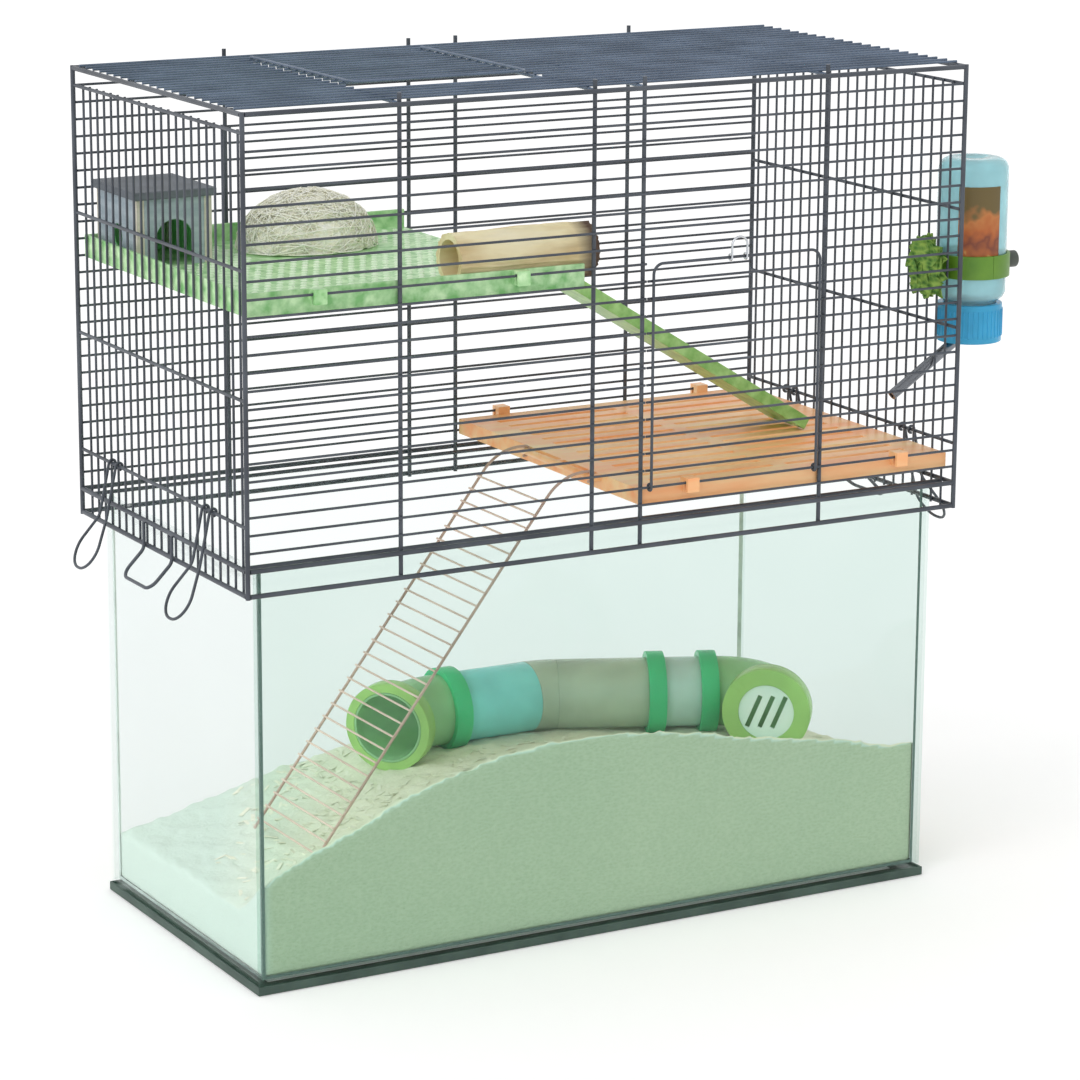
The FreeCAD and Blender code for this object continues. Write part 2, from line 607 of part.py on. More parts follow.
def ramp():
    """Channel-shaped ramp with cross ribs; its barrel turns on the platform's pin."""
    half = RAMP_WIDTH / 2
    barrel = RAMP_BARREL_D / 2
    start = barrel + SEAT_GAP
    deck = box(0, -half, -RAMP_DECK / 2, RAMP_LENGTH, half, RAMP_DECK / 2)
    pieces = [deck, y_bar(0, -half, half, 0, RAMP_BARREL_D)]
    for y in (-half - RAMP_WALL, half):
        pieces.append(box(start, y, -RAMP_DECK / 2, RAMP_LENGTH, y + RAMP_WALL, RAMP_SIDE - RAMP_DECK / 2))
    rib = RAMP_RIB_PITCH
    while rib < RAMP_LENGTH - RAMP_RIB_PITCH / 2:
        pieces.append(box(rib, -half, RAMP_DECK / 2, rib + RAMP_RIB, half, RAMP_DECK / 2 + RAMP_RIB))
        rib += RAMP_RIB_PITCH
    body = fused(pieces).cut(y_bar(0, -half, half, 0, RAMP_PIN_D + 2 * PIN_CLEARANCE))
    drop = PIN_Z - SHELF_Z - SEAT_GAP
    low = -RAMP_DECK / 2
    slope = math.asin(drop / math.hypot(RAMP_LENGTH, low)) + math.atan2(low, RAMP_LENGTH)
    body.rotate(V(0, 0, 0), Y_AXIS, math.degrees(slope))
    body.translate(V(PIN_X, RAMP_Y, PIN_Z))
    print(f"ramp slope {math.degrees(slope):.2f}, pin at x {PIN_X:.2f} z {PIN_Z:.2f}")
    return body


def ladder(heap):
    """Two rails hooked over the shelf's bar with their feet on the bedding, and welded rungs."""
    slope = math.radians(LADDER_SLOPE)
    down = V(-math.cos(slope), 0, -math.sin(slope))
    up = V(-math.sin(slope), 0, math.cos(slope))
    bar_at = V(LADDER_BAR_X, 0, LADDER_BAR_Z)
    crest = bar_at + V(0, 0, LADDER_EYE)
    turn = crest + V(-LADDER_TOP_RUN, 0, 0)
    runs = []
    for side in (-1, 1):
        start = turn + V(0, LADDER_Y + side * LADDER_WIDTH / 2, 0)
        free = Part.LineSegment(start, start + down * TOP_Z).toShape().cut(heap)
        runs += [e.Length for e in free.Edges if e.distToShape(Part.Vertex(start))[0] < TINY]
    length = min(runs) - LADDER_FOOT_GAP
    foot = turn + down * length
    rails = []
    for side in (-1, 1):
        shift = V(0, LADDER_Y + side * LADDER_WIDTH / 2, 0)
        hook = [arc(bar_at + shift, X_AXIS, Z_AXIS, LADDER_EYE, start, end)
                for start, end in ((LADDER_HOOK_END, 0), (0, 90))]
        rails.append(sweep(hook + bent_path([crest + shift, turn + shift, foot + shift], LADDER_BEND),
                           LADDER_WIRE_D))
    lift = up * ((LADDER_WIRE_D + RUNG_D) / 2 + WELD_GAP)
    reach = V(0, LADDER_WIDTH / 2 + LADDER_WIRE_D / 2, 0)
    first = LADDER_BEND * math.tan(slope / 2) + RUNG_PITCH / 2
    rungs = []
    along = first
    while along < length - RUNG_D:
        middle = turn + down * along + lift + V(0, LADDER_Y, 0)
        rungs.append(bar(middle - reach, middle + reach, RUNG_D))
        along += RUNG_PITCH
    print(f"ladder bar x {LADDER_BAR_X:.2f} z {LADDER_BAR_Z:.2f}, foot x {foot.x:.1f} z {foot.z:.1f}")
    return rails, rungs


def log():
    """Hollow log lying along the front rim, its right end past the platform's edge."""
    y = -FURNITURE_Y + PLATFORM_WALL + SEAT_GAP + LOG_D / 2
    z = PLATFORM_Z + SEAT_GAP + LOG_D / 2
    end = PLATFORM_RIGHT + LOG_OVERHANG
    return x_bar(end - LOG_LENGTH, end, y, z, LOG_D).cut(x_bar(end - LOG_LENGTH, end, y, z, LOG_BORE))


def house():
    """Nest house in the back left corner: walls, four pale posts and a flat roof."""
    x0 = PLATFORM_LEFT + PLATFORM_WALL + HOUSE_INSET
    y1 = FURNITURE_Y - PLATFORM_WALL - HOUSE_INSET
    x1 = x0 + HOUSE_LENGTH
    y0 = y1 - HOUSE_DEPTH
    top = PLATFORM_Z + HOUSE_HEIGHT
    walls = box(x0, y0, PLATFORM_Z, x1, y1, top)
    walls = walls.cut(box(x0 + HOUSE_WALL, y0 + HOUSE_WALL, PLATFORM_Z,
                          x1 - HOUSE_WALL, y1 - HOUSE_WALL, top))
    middle = (x0 + x1) / 2
    spring = PLATFORM_Z + HOUSE_DOOR_HEIGHT - HOUSE_DOOR / 2
    walls = walls.cut(box(middle - HOUSE_DOOR / 2, y0, PLATFORM_Z,
                          middle + HOUSE_DOOR / 2, y0 + HOUSE_WALL, spring))
    walls = walls.cut(y_bar(middle, y0, y0 + HOUSE_WALL, spring, HOUSE_DOOR))
    walls = walls.cut(x_bar(x0, x0 + HOUSE_WALL, (y0 + y1) / 2, spring, HOUSE_WINDOW))
    posts = [box(x, y, PLATFORM_Z, x + HOUSE_POST, y + HOUSE_POST, top)
             for x in (x0, x1 - HOUSE_POST) for y in (y0, y1 - HOUSE_POST)]
    walls = walls.cut(Part.makeCompound(posts))
    roof = box(x0 - ROOF_EAVES, y0 - ROOF_EAVES, top,
               x1 + ROOF_EAVES, y1 + ROOF_EAVES, top + ROOF_THICKNESS)
    save("house_walls", *walls.Solids)
    save("house_posts", *posts)
    save("house_roof", roof)


def nest():
    """Low mound of nesting hay on the platform."""
    ball = Part.makeSphere(1.0, V(0, 0, 0), Z_AXIS, 0, 90, 360)
    stretch = FreeCAD.Matrix()
    stretch.scale(NEST_LENGTH / 2, NEST_DEPTH / 2, NEST_HEIGHT)
    mound = ball.transformGeometry(stretch)
    mound.translate(V(PLATFORM_LEFT + NEST_X, NEST_Y, PLATFORM_Z))
    return mound


class Tunnel:
    """Tubes laid end to end in plan: straight runs and level bends from one point."""

    def __init__(self, x, y, heading):
        self.at = V(x, y, TUNNEL_Z)
        self.heading = heading
        self.bed_prints = []

    def forward(self):
        turn = math.radians(self.heading)
        return V(math.cos(turn), math.sin(turn), 0)

    def pipe(self, length, outer, inner, start=0.0):
        way = self.forward()
        begin = self.at + way * start
        self.bed_prints.append(Part.makeCylinder(outer / 2 + SEAT_GAP, length, begin, way))
        solid = Part.makeCylinder(outer / 2, length, begin, way)
        return solid.cut(Part.makeCylinder(inner / 2, length, begin, way))

    def straight(self, length):
        piece = self.pipe(length, TUBE_D, TUBE_BORE)
        self.at = self.at + self.forward() * length
        return piece

    def bend(self, angle, radius):
        way = self.forward()
        side = V(-way.y, way.x, 0) * (1 if angle > 0 else -1)
        centre = self.at + side * radius
        axis = Z_AXIS if angle > 0 else -Z_AXIS

        def turned(*diameters):
            rings = [Part.Wire(Part.Circle(self.at, way, d / 2).toShape()) for d in diameters]
            return flat_face(rings).revolve(centre, axis, abs(angle))

        piece = turned(TUBE_D, TUBE_BORE)
        self.bed_prints.append(turned(TUBE_D + 2 * SEAT_GAP))
        arm = self.at - centre
        turn = math.radians(angle)
        self.at = centre + V(arm.x * math.cos(turn) - arm.y * math.sin(turn),
                             arm.x * math.sin(turn) + arm.y * math.cos(turn), 0)
        self.heading += angle
        return piece

    def elbow(self, lead, angle, radius, tail):
        """Bend with a straight spigot at each end."""
        return fused([self.straight(lead), self.bend(angle, radius), self.straight(tail)])

    def ring(self, width, outer, start):
        return self.pipe(width, outer, TUBE_D + 2 * RING_CLEARANCE, start)


def tunnel():
    """Toy tunnel on the bedding; returns the hollow that it presses there."""
    half = RING_WIDTH / 2
    left = Tunnel(BLUE_START, TUNNEL_Y, 180.0)
    save("tunnel_blue_ring", left.ring(RING_WIDTH, RING_D, -half))
    save("tunnel_left_elbow", left.elbow(half, LEFT_TURN, LEFT_RADIUS, RING_WIDTH))
    save("tunnel_left_collar", left.ring(RING_WIDTH, COLLAR_D, -RING_WIDTH))
    line = Tunnel(BLUE_START, TUNNEL_Y, 0.0)
    save("tunnel_blue_tube", line.straight(BLUE_LENGTH))
    save("tunnel_grey_bend", line.bend(-BEND_TURN, BEND_RADIUS))
    save("tunnel_clear_tube", line.straight(CLEAR_LENGTH))
    save("tunnel_first_ring", line.ring(RING_WIDTH, RING_D, -half))
    save("tunnel_mint_tube", line.straight(MINT_LENGTH))
    save("tunnel_second_ring", line.ring(RING_WIDTH, RING_D, -half))
    save("tunnel_end_elbow", line.elbow(half, -END_TURN, END_RADIUS, END_RING_WIDTH))
    rim = line.ring(END_RING_WIDTH + CAP_PLATE, END_RING_D, -END_RING_WIDTH)
    lip = line.pipe(CAP_LIP, END_RING_D, CAP_WINDOW, CAP_PLATE)
    save("tunnel_end_ring", fused([rim, lip]))
    way = line.forward()
    across = V(-way.y, way.x, 0)
    plate = Part.makeCylinder(TUBE_D / 2, CAP_PLATE, line.at, way)
    slots = []
    tall = CAP_SLOT_LENGTH / 2
    for place in spread(-CAP_WINDOW / 2, CAP_WINDOW / 2, CAP_PITCH, CAP_PITCH):
        slot = box(0, -CAP_SLOT / 2, -tall, CAP_PLATE, CAP_SLOT / 2, tall)
        slot.rotate(V(0, 0, 0), X_AXIS, -CAP_LEAN)
        slots.append(placed(slot, way, across, Z_AXIS, line.at + across * place))
    save("tunnel_end_grille", plate.cut(Part.makeCompound(slots)))
    print(f"tunnel mouth {left.at.x:.1f} {left.at.y:.1f}, grille {line.at.x:.1f} {line.at.y:.1f}")
    return left.bed_prints + line.bed_prints


def water_bottle():
    """Bottle hung outside the right panel: its holder, strap, cap, seal and ball spout."""
    x = FRAME_X + FRAME_D / 2 + BOTTLE_GAP + BOTTLE_D / 2
    y = (side_y(BOTTLE_BAR) + side_y(BOTTLE_BAR + 1)) / 2
    z = TOP_Z - BOTTLE_DROP
    base = V(x, y, z)

    def disc(radius, low, high):
        return Part.makeCylinder(radius, high - low, base + V(0, 0, low), Z_AXIS)

    def cone(low_radius, high_radius, low, high):
        return Part.makeCone(low_radius, high_radius, high - low, base + V(0, 0, low), Z_AXIS)

    neck = NECK_LENGTH
    shoulder = BOTTLE_SHOULDER
    inner = BOTTLE_D / 2 - BOTTLE_WALL
    neck_in = NECK_D / 2 - BOTTLE_WALL
    top = shoulder + BOTTLE_HEIGHT
    outer = fused([disc(NECK_D / 2, -neck, 0),
                   cone(NECK_D / 2, BOTTLE_D / 2, 0, shoulder),
                   disc(BOTTLE_D / 2, shoulder, top - shoulder),
                   cone(BOTTLE_D / 2, NECK_D / 2, top - shoulder, top)])
    hollow = fused([disc(neck_in, -neck, 0),
                    cone(neck_in, inner, 0, shoulder),
                    disc(inner, shoulder, top - shoulder - BOTTLE_WALL),
                    cone(inner, neck_in, top - shoulder - BOTTLE_WALL, top - BOTTLE_WALL)])
    save("bottle_body", outer.cut(hollow))
    seal_low = -neck - SEAL
    seal = disc(NECK_D / 2, seal_low, -neck)
    cap = disc(CAP_D / 2, -CAP_HEIGHT, -SEAT_GAP)
    cap = cap.cut(disc(NECK_D / 2 + PIN_CLEARANCE, seal_low, -SEAT_GAP))
    slope = math.radians(SPOUT_SLOPE)
    way = V(-math.cos(slope), 0, -math.sin(slope))
    root = base + V(0, 0, (seal_low - CAP_HEIGHT) / 2)
    bore = Part.makeCylinder(SPOUT_D / 2, SPOUT_LENGTH, root, way)
    feed = Part.makeCylinder(SPOUT_D / 2, -root.z + z + seal_low, root, Z_AXIS)
    save("bottle_cap", cap.cut(fused([bore, feed, Part.makeSphere(SPOUT_D / 2, root)])))
    save("bottle_seal", seal.cut(disc(SPOUT_D / 2, seal_low, -neck)))
    spout = bore.cut(Part.makeCylinder(SPOUT_D / 2 - SPOUT_WALL, SPOUT_LENGTH, root, way))
    mouth = root + way * SPOUT_LENGTH
    lip = Part.makeCylinder(SPOUT_D / 2 - SPOUT_WALL, SPOUT_WALL, mouth - way * SPOUT_WALL, way)
    lip = lip.cut(Part.makeCylinder(BALL_D / 2 - SPOUT_WALL, SPOUT_WALL, mouth - way * SPOUT_WALL, way))
    shown = Part.makeCylinder(SPOUT_D, SPOUT_LENGTH - SPOUT_START, root + way * SPOUT_START, way)
    spout = spout.common(shown)
    save("bottle_spout", fused([spout, lip]))
    save("spout_ball", Part.makeSphere(BALL_D / 2, mouth - way * (SPOUT_WALL + BALL_D / 2)))
    bottle_holder(base + V(0, 0, HOLDER_UP))


def bottle_holder(middle):
    """Cradle on the panel with a pad inside the wires, and a strap closed by a knob."""
    radius = BOTTLE_D / 2 + SEAT_GAP
    low = middle.z - HOLDER_WIDTH / 2
    high = middle.z + HOLDER_WIDTH / 2
    reach = radius + HOLDER_WALL
    band = Part.makeCylinder(reach, HOLDER_WIDTH, V(middle.x, middle.y, low), Z_AXIS)
    band = band.cut(Part.makeCylinder(radius, HOLDER_WIDTH, V(middle.x, middle.y, low), Z_AXIS))
    inner_half = box(middle.x - reach, middle.y - reach, low,
                     middle.x - SEAT_GAP / 2, middle.y + reach, high)
    outer_half = box(middle.x + SEAT_GAP / 2, middle.y - reach, low,
                     middle.x + reach, middle.y + reach, high)
    cradle = band.common(inner_half)
    neck_half = (SIDE_PITCH - BAR_D) / 2 - FURNITURE_GAP
    pad_face = SIDE_BAR_X - BAR_D / 2 - FURNITURE_GAP
    neck = box(pad_face, middle.y - neck_half, low, middle.x, middle.y + neck_half, high)
    neck = neck.cut(Part.makeCylinder(radius, HOLDER_WIDTH, V(middle.x, middle.y, low), Z_AXIS))
    save("holder_cradle", fused([cradle, neck]))
    save("holder_pad", box(pad_face - PAD_THICKNESS, middle.y - PAD_LENGTH / 2, middle.z - PAD_HEIGHT / 2,
                           pad_face, middle.y + PAD_LENGTH / 2, middle.z + PAD_HEIGHT / 2))
    save("holder_strap", band.common(outer_half))
    save("strap_knob", x_bar(middle.x + reach, middle.x + reach + KNOB_LENGTH, middle.y, middle.z, KNOB_D))


def main():
    tank()
    beads = silicone_beads()
    save("silicone_beads", *beads)
    heap = bedding(beads + tunnel())
    save("bedding", heap)
    save("front_panel", *long_panel(-1, True))
    save("back_panel", *long_panel(1, False))
    save("left_panel", *side_panel(-1))
    save("right_panel", *side_panel(1))
    save("top_panel", *top_panel())
    save("rest_wires", *rest_wires())
    save("locating_loops", *locating_loops())
    doors()
    side_clips()
    save("platform", platform())
    pin_half = RAMP_HALF + SEAT_GAP + LUG
    save("ramp_pin", y_bar(PIN_X, RAMP_Y - pin_half, RAMP_Y + pin_half, PIN_Z, RAMP_PIN_D))
    save("ramp", ramp())
    save("shelf", shelf())
    rails, rungs = ladder(heap)
    save("ladder_rails", *rails)
    save("ladder_rungs", *rungs)
    save("log_tunnel", log())
    house()
    save("nest_hay", nest())
    water_bottle()


main()
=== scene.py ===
# %% [markdown]
# # A rodent cage, dressed
# The cage is a glass tank of bedding with a wire top that lifts off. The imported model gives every
# rigid piece at its true place, so this lesson keeps those pieces and gives them finishes. It models
# anew only what a plain solid can't show: loose bedding, hay, bark, leaves and thin blown plastic.

import json
import math
import random
from contextlib import contextmanager

import bpy
import numpy as np
from mathutils import Matrix, Vector
from mathutils.noise import fractal

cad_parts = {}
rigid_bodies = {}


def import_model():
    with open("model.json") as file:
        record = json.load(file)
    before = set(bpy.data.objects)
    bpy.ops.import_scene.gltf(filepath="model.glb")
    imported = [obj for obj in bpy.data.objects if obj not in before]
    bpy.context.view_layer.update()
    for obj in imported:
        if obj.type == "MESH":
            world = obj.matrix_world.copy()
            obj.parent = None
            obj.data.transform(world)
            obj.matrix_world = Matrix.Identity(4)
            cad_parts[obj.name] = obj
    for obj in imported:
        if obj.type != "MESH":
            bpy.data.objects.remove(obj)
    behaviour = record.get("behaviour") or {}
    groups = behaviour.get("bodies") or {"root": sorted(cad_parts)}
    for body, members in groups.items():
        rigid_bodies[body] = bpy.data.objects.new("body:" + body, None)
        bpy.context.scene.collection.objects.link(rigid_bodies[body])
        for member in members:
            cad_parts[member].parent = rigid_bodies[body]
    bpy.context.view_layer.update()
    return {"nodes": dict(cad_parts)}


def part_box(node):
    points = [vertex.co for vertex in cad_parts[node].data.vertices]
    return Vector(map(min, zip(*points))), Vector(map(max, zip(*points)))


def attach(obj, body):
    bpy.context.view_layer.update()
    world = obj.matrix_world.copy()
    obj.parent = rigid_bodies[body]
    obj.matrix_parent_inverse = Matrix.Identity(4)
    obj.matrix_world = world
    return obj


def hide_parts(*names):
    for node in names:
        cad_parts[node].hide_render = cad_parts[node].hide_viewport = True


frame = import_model()
NODES = frame["nodes"]
MM = 0.001
ONE_POINT = 1e-6            # points nearer than this are merged
RIGHT = Vector((1, 0, 0))
UP = Vector((0, 0, 1))

# %% [markdown]
# ## Handles for the work
# Operators act on whatever is selected, so every step first selects one object alone. A finished
# piece always gets the same last steps: its place goes into its mesh, it gets a finish, and it rides
# on a body.


# %% Small helpers
def only(obj):
    bpy.ops.object.select_all(action="DESELECT")
    obj.select_set(True)
    bpy.context.view_layer.objects.active = obj


@contextmanager
def editing(piece):
    """Edit mode on one piece, with all of it selected."""
    only(piece)
    bpy.ops.object.mode_set(mode="EDIT")
    bpy.ops.mesh.select_all(action="SELECT")
    yield
    bpy.ops.object.mode_set(mode="OBJECT")


def apply_modifiers(obj):
    only(obj)
    for modifier in list(obj.modifiers):
        bpy.ops.object.modifier_apply(modifier=modifier.name)
    return obj


def placed(name, data):
    """A new object in the scene for a mesh or a curve."""
    obj = bpy.data.objects.new(name, data)
    bpy.context.scene.collection.objects.link(obj)
    return obj


def copy_of(node):
    """A free copy of a CAD node's mesh, with its loose triangles merged."""
    only(NODES[node])
    bpy.ops.object.duplicate()
    piece = bpy.context.active_object
    bpy.ops.object.parent_clear(type="CLEAR_KEEP_TRANSFORM")
    for key in list(piece.keys()):
        del piece[key]
    piece.data.materials.clear()
    with editing(piece):
        bpy.ops.mesh.remove_doubles(threshold=ONE_POINT)
    return piece


def settle(piece, name, body, material, stands_for=()):
    """Last steps of every new piece."""
    only(piece)
    bpy.ops.object.transform_apply(location=True, rotation=True, scale=True)
    piece.name = name
    piece.data.name = name
    piece.data.materials.clear()
    piece.data.materials.append(material)
    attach(piece, body)
    if stands_for:
        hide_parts(*stands_for)
    print(name, "has", len(piece.data.polygons), "faces")


def joined(pieces):
    bpy.ops.object.select_all(action="DESELECT")
    for piece in pieces:
        piece.select_set(True)
    bpy.context.view_layer.objects.active = pieces[0]
    bpy.ops.object.join()
    return bpy.context.active_object


def merged_copies(template, places, name):
    """One object of many copies of a small template, each moved by its own matrix."""
    mesh = template.data
    points = np.array([v.co for v in mesh.vertices])
    faces = [tuple(p.vertices) for p in mesh.polygons]
    all_points = []
    all_faces = []
    for number, place in enumerate(places):
        turn = np.array(place.to_3x3())
        all_points.append(points @ turn.T + np.array(place.translation))
        start = number * len(points)
        all_faces += [tuple(v + start for v in face) for face in faces]
    made = bpy.data.meshes.new(name)
    made.from_pydata(np.concatenate(all_points).tolist(), [], all_faces)
    made.update()
    bpy.data.objects.remove(template)
    return placed(name, made)


def clamped(share):
    return min(1.0, max(0.0, share))


# %% [markdown]
# ## Camera
# The photo's corners were fitted with a long lens from the front left, a little above the roof. The
# same place, turn and lens are set here, so the render and the photo can be laid over each other.

# %% Camera
CAMERA_PLACE = Vector((-1.4161, -2.5546, 0.9924))
CAMERA_AZIMUTH = math.radians(-29.30)
CAMERA_ELEVATION = math.radians(13.78)
CAMERA_ROLL = -0.0052
FOCAL_SHARE = 3.6269        # focal length over the frame's width
SENSOR = 36.0


def make_camera():
    flat = math.cos(CAMERA_ELEVATION)
    back = Vector((math.sin(CAMERA_AZIMUTH) * flat, -math.cos(CAMERA_AZIMUTH) * flat,
                   math.sin(CAMERA_ELEVATION)))
    level = UP.cross(back).normalized()
    up = back.cross(level)
    right = level * math.cos(CAMERA_ROLL) - up * math.sin(CAMERA_ROLL)
    top = level * math.sin(CAMERA_ROLL) + up * math.cos(CAMERA_ROLL)
    bpy.ops.object.camera_add()
    camera = bpy.context.active_object
    turn = Matrix((right, top, back)).transposed().to_4x4()
    camera.matrix_world = Matrix.Translation(CAMERA_PLACE) @ turn
    camera.data.sensor_width = SENSOR
    camera.data.lens = SENSOR * FOCAL_SHARE
    bpy.context.scene.camera = camera
    print("camera at", tuple(round(v, 2) for v in camera.location))


make_camera()

# %% [markdown]
# ## Light and floor
# The photo has an even white studio round it and hardly any shadow. A white world lights all sides
# alike, a broad low sun adds a little form, and a nearly white floor catches the contact shadow.

# %% Light and floor
WHITE = (1, 1, 1, 1)
WORLD_LIGHT = 0.80
SUN_LIGHT = 0.95
SUN_SPREAD = math.radians(50)
SUN_TURN = (math.radians(12), math.radians(-50), 0)
FLOOR_HALF = 14.0
FLOOR_DROP = 0.4 * MM       # keeps the floor off the cage's underside
FLOOR_SHADE = (0.97, 0.97, 0.97, 1)
FLOOR_ROUGHNESS = 0.9
FLOOR_GLOW = 0.14           # lifts the floor to white where it is looked at


def looked_at(tree):
    """1 for what the camera sees, straight or through glass, and 0 for the light on the pieces."""
    path = tree.nodes.new("ShaderNodeLightPath")
    seen = path.outputs["Is Camera Ray"]
    for ray in ("Is Glossy Ray", "Is Transmission Ray"):
        either = tree.nodes.new("ShaderNodeMath")
        either.operation = "MAXIMUM"
        tree.links.new(seen, either.inputs[0])
        tree.links.new(path.outputs[ray], either.inputs[1])
        seen = either.outputs["Value"]
    return seen


def light_the_scene():
    scene = bpy.context.scene
    scene.view_settings.view_transform = "Standard"
    world = bpy.data.worlds.new("studio")
    scene.world = world
    world.use_nodes = True
    nodes = world.node_tree.nodes
    links = world.node_tree.links
    light = nodes["Background"]
    light.inputs["Color"].default_value = WHITE
    light.inputs["Strength"].default_value = WORLD_LIGHT
    white = nodes.new("ShaderNodeBackground")
    white.inputs["Color"].default_value = WHITE
    pick = nodes.new("ShaderNodeMixShader")
    links.new(looked_at(world.node_tree), pick.inputs["Fac"])
    links.new(light.outputs["Background"], pick.inputs[1])
    links.new(white.outputs["Background"], pick.inputs[2])
    links.new(pick.outputs["Shader"], nodes["World Output"].inputs["Surface"])
    bpy.ops.object.light_add(type="SUN", rotation=SUN_TURN)
    sun = bpy.context.active_object
    sun.data.energy = SUN_LIGHT
    sun.data.angle = SUN_SPREAD


def lay_the_floor():
    bpy.ops.mesh.primitive_plane_add(size=2 * FLOOR_HALF, location=(0, 0, -FLOOR_DROP))
    floor = bpy.context.active_object
    floor.name = "studio_floor"
    material = bpy.data.materials.new("studio_floor")
    material.use_nodes = True
    tree = material.node_tree
    shader = tree.nodes["Principled BSDF"]
    shader.inputs["Base Color"].default_value = FLOOR_SHADE
    shader.inputs["Roughness"].default_value = FLOOR_ROUGHNESS
    shader.inputs["Specular IOR Level"].default_value = 0.0
    glow = tree.nodes.new("ShaderNodeMath")
    glow.operation = "MULTIPLY"
    glow.inputs[1].default_value = FLOOR_GLOW
    tree.links.new(looked_at(tree), glow.inputs[0])
    tree.links.new(glow.outputs["Value"], shader.inputs["Emission Strength"])
    shader.inputs["Emission Color"].default_value = WHITE
    floor.data.materials.append(material)


light_the_scene()
lay_the_floor()

# %% [markdown]
# ## Finishes
# Every finish starts from one shader and adds what the real surface has: two shades that drift into
# each other, and a fine bump. The patterns read Object coordinates, so they stay where they are on
# the piece. Their scales count cells in a metre.

# %% Tools for finishes
COLOUR_A, COLOUR_B, COLOUR_OUT = 6, 7, 2    # places of a Mix node's colour sockets


def rgb(red, green, blue):
    """A screen colour, 0 to 255, as the linear colour that a shader takes."""
    def linear(value):
        share = value / 255
        return share / 12.92 if share <= 0.04045 else ((share + 0.055) / 1.055) ** 2.4
    return (linear(red), linear(green), linear(blue), 1.0)


def times(colour, share):
    return tuple(c * share for c in colour[:3]) + (1.0,)


def new_finish(name, roughness, **sockets):
    material = bpy.data.materials.new(name)
    material.use_nodes = True
    shader = material.node_tree.nodes["Principled BSDF"]
    shader.inputs["Roughness"].default_value = roughness
    for socket, value in sockets.items():
        shader.inputs[socket.replace("_", " ")].default_value = value
    return material, shader


def add_node(material, kind, **values):
    node = material.node_tree.nodes.new(kind)
    for name, value in values.items():
        if name in node.inputs:
            node.inputs[name].default_value = value
        else:
            setattr(node, name, value)
    return node


def link(material, source, target):
    material.node_tree.links.new(source, target)


def place(material, stretch=(1, 1, 1)):
    """Object coordinates, stretched where a grain runs one way."""
    coordinates = add_node(material, "ShaderNodeTexCoord")
    mapping = add_node(material, "ShaderNodeMapping")
    mapping.inputs["Scale"].default_value = stretch
    link(material, coordinates.outputs["Object"], mapping.inputs["Vector"])
    return mapping.outputs["Vector"]


def along(material, axis, start, end, clamp=True):
    """Share of the way from start to end along an axis of the piece."""
    split = add_node(material, "ShaderNodeSeparateXYZ")
    link(material, place(material), split.inputs["Vector"])
    share = add_node(material, "ShaderNodeMapRange", clamp=clamp)
    share.inputs["From Min"].default_value = start
    share.inputs["From Max"].default_value = end
    link(material, split.outputs[axis], share.inputs["Value"])
    return share.outputs["Result"]


def noise(material, scale, detail=3.0, stretch=(1, 1, 1)):
    texture = add_node(material, "ShaderNodeTexNoise", Scale=scale, Detail=detail)
    link(material, place(material, stretch), texture.inputs["Vector"])
    return texture.outputs["Fac"]


def cells(material, scale, stretch=(1, 1, 1)):
    texture = add_node(material, "ShaderNodeTexVoronoi", Scale=scale)
    link(material, place(material, stretch), texture.inputs["Vector"])
    return texture.outputs["Distance"]


def graded(material, pattern, stops):
    """A colour that follows a pattern through stops of (position, colour)."""
    ramp = add_node(material, "ShaderNodeValToRGB")
    band = ramp.color_ramp
    while len(band.elements) < len(stops):
        band.elements.new(0.5)
    for element, (position, colour) in zip(band.elements, stops):
        element.position = position
        element.color = colour
    link(material, pattern, ramp.inputs["Fac"])
    return ramp.outputs["Color"]


def shades(material, shader, pattern, stops):
    link(material, graded(material, pattern, stops), shader.inputs["Base Color"])


def recolour(material, share, colour):
    """Blend the base colour so far into another, a plain one or a socket, by a share."""
    base = material.node_tree.nodes["Principled BSDF"].inputs["Base Color"]
    blend = add_node(material, "ShaderNodeMix", data_type="RGBA")
    link(material, share, blend.inputs["Factor"])
    link(material, base.links[0].from_socket, blend.inputs[COLOUR_A])
    if isinstance(colour, tuple):
        blend.inputs[COLOUR_B].default_value = colour
    else:
        link(material, colour, blend.inputs[COLOUR_B])
    link(material, blend.outputs[COLOUR_OUT], base)


def rough_by(material, shader, pattern, low, high):
    spread = add_node(material, "ShaderNodeMapRange")
    spread.inputs["To Min"].default_value = low
    spread.inputs["To Max"].default_value = high
    link(material, pattern, spread.inputs["Value"])
    link(material, spread.outputs["Result"], shader.inputs["Roughness"])


def bump(material, shader, pattern, depth, strength):
    raised = add_node(material, "ShaderNodeBump", Strength=strength, Distance=depth)
    link(material, pattern, raised.inputs["Height"])
    link(material, raised.outputs["Normal"], shader.inputs["Normal"])


def let_lamps_through(material, shader, tint):
    """Shadow rays pass the glass with its tint, so what is behind it is lit."""
    path = add_node(material, "ShaderNodeLightPath")
    clear = add_node(material, "ShaderNodeBsdfTransparent", Color=tint)
    pick = add_node(material, "ShaderNodeMixShader")
    link(material, path.outputs["Is Shadow Ray"], pick.inputs["Fac"])
    link(material, shader.outputs["BSDF"], pick.inputs[1])
    link(material, clear.outputs["BSDF"], pick.inputs[2])
    end = material.node_tree.nodes["Material Output"]
    link(material, pick.outputs["Shader"], end.inputs["Surface"])


def dress(material, *names):
    for name in names:
        slots = NODES[name].data.materials
        slots.clear()
        slots.append(material)


# %% [markdown]
# ## Coated wire, plated wire and steel
# The panels are steel wire with a dark slate coat, bluer on the roof. Powder coat pools a little, so
# its shade drifts over a few centimetres and its skin has a fine orange peel. The ladder has a
# thicker, warmer plastic coat.

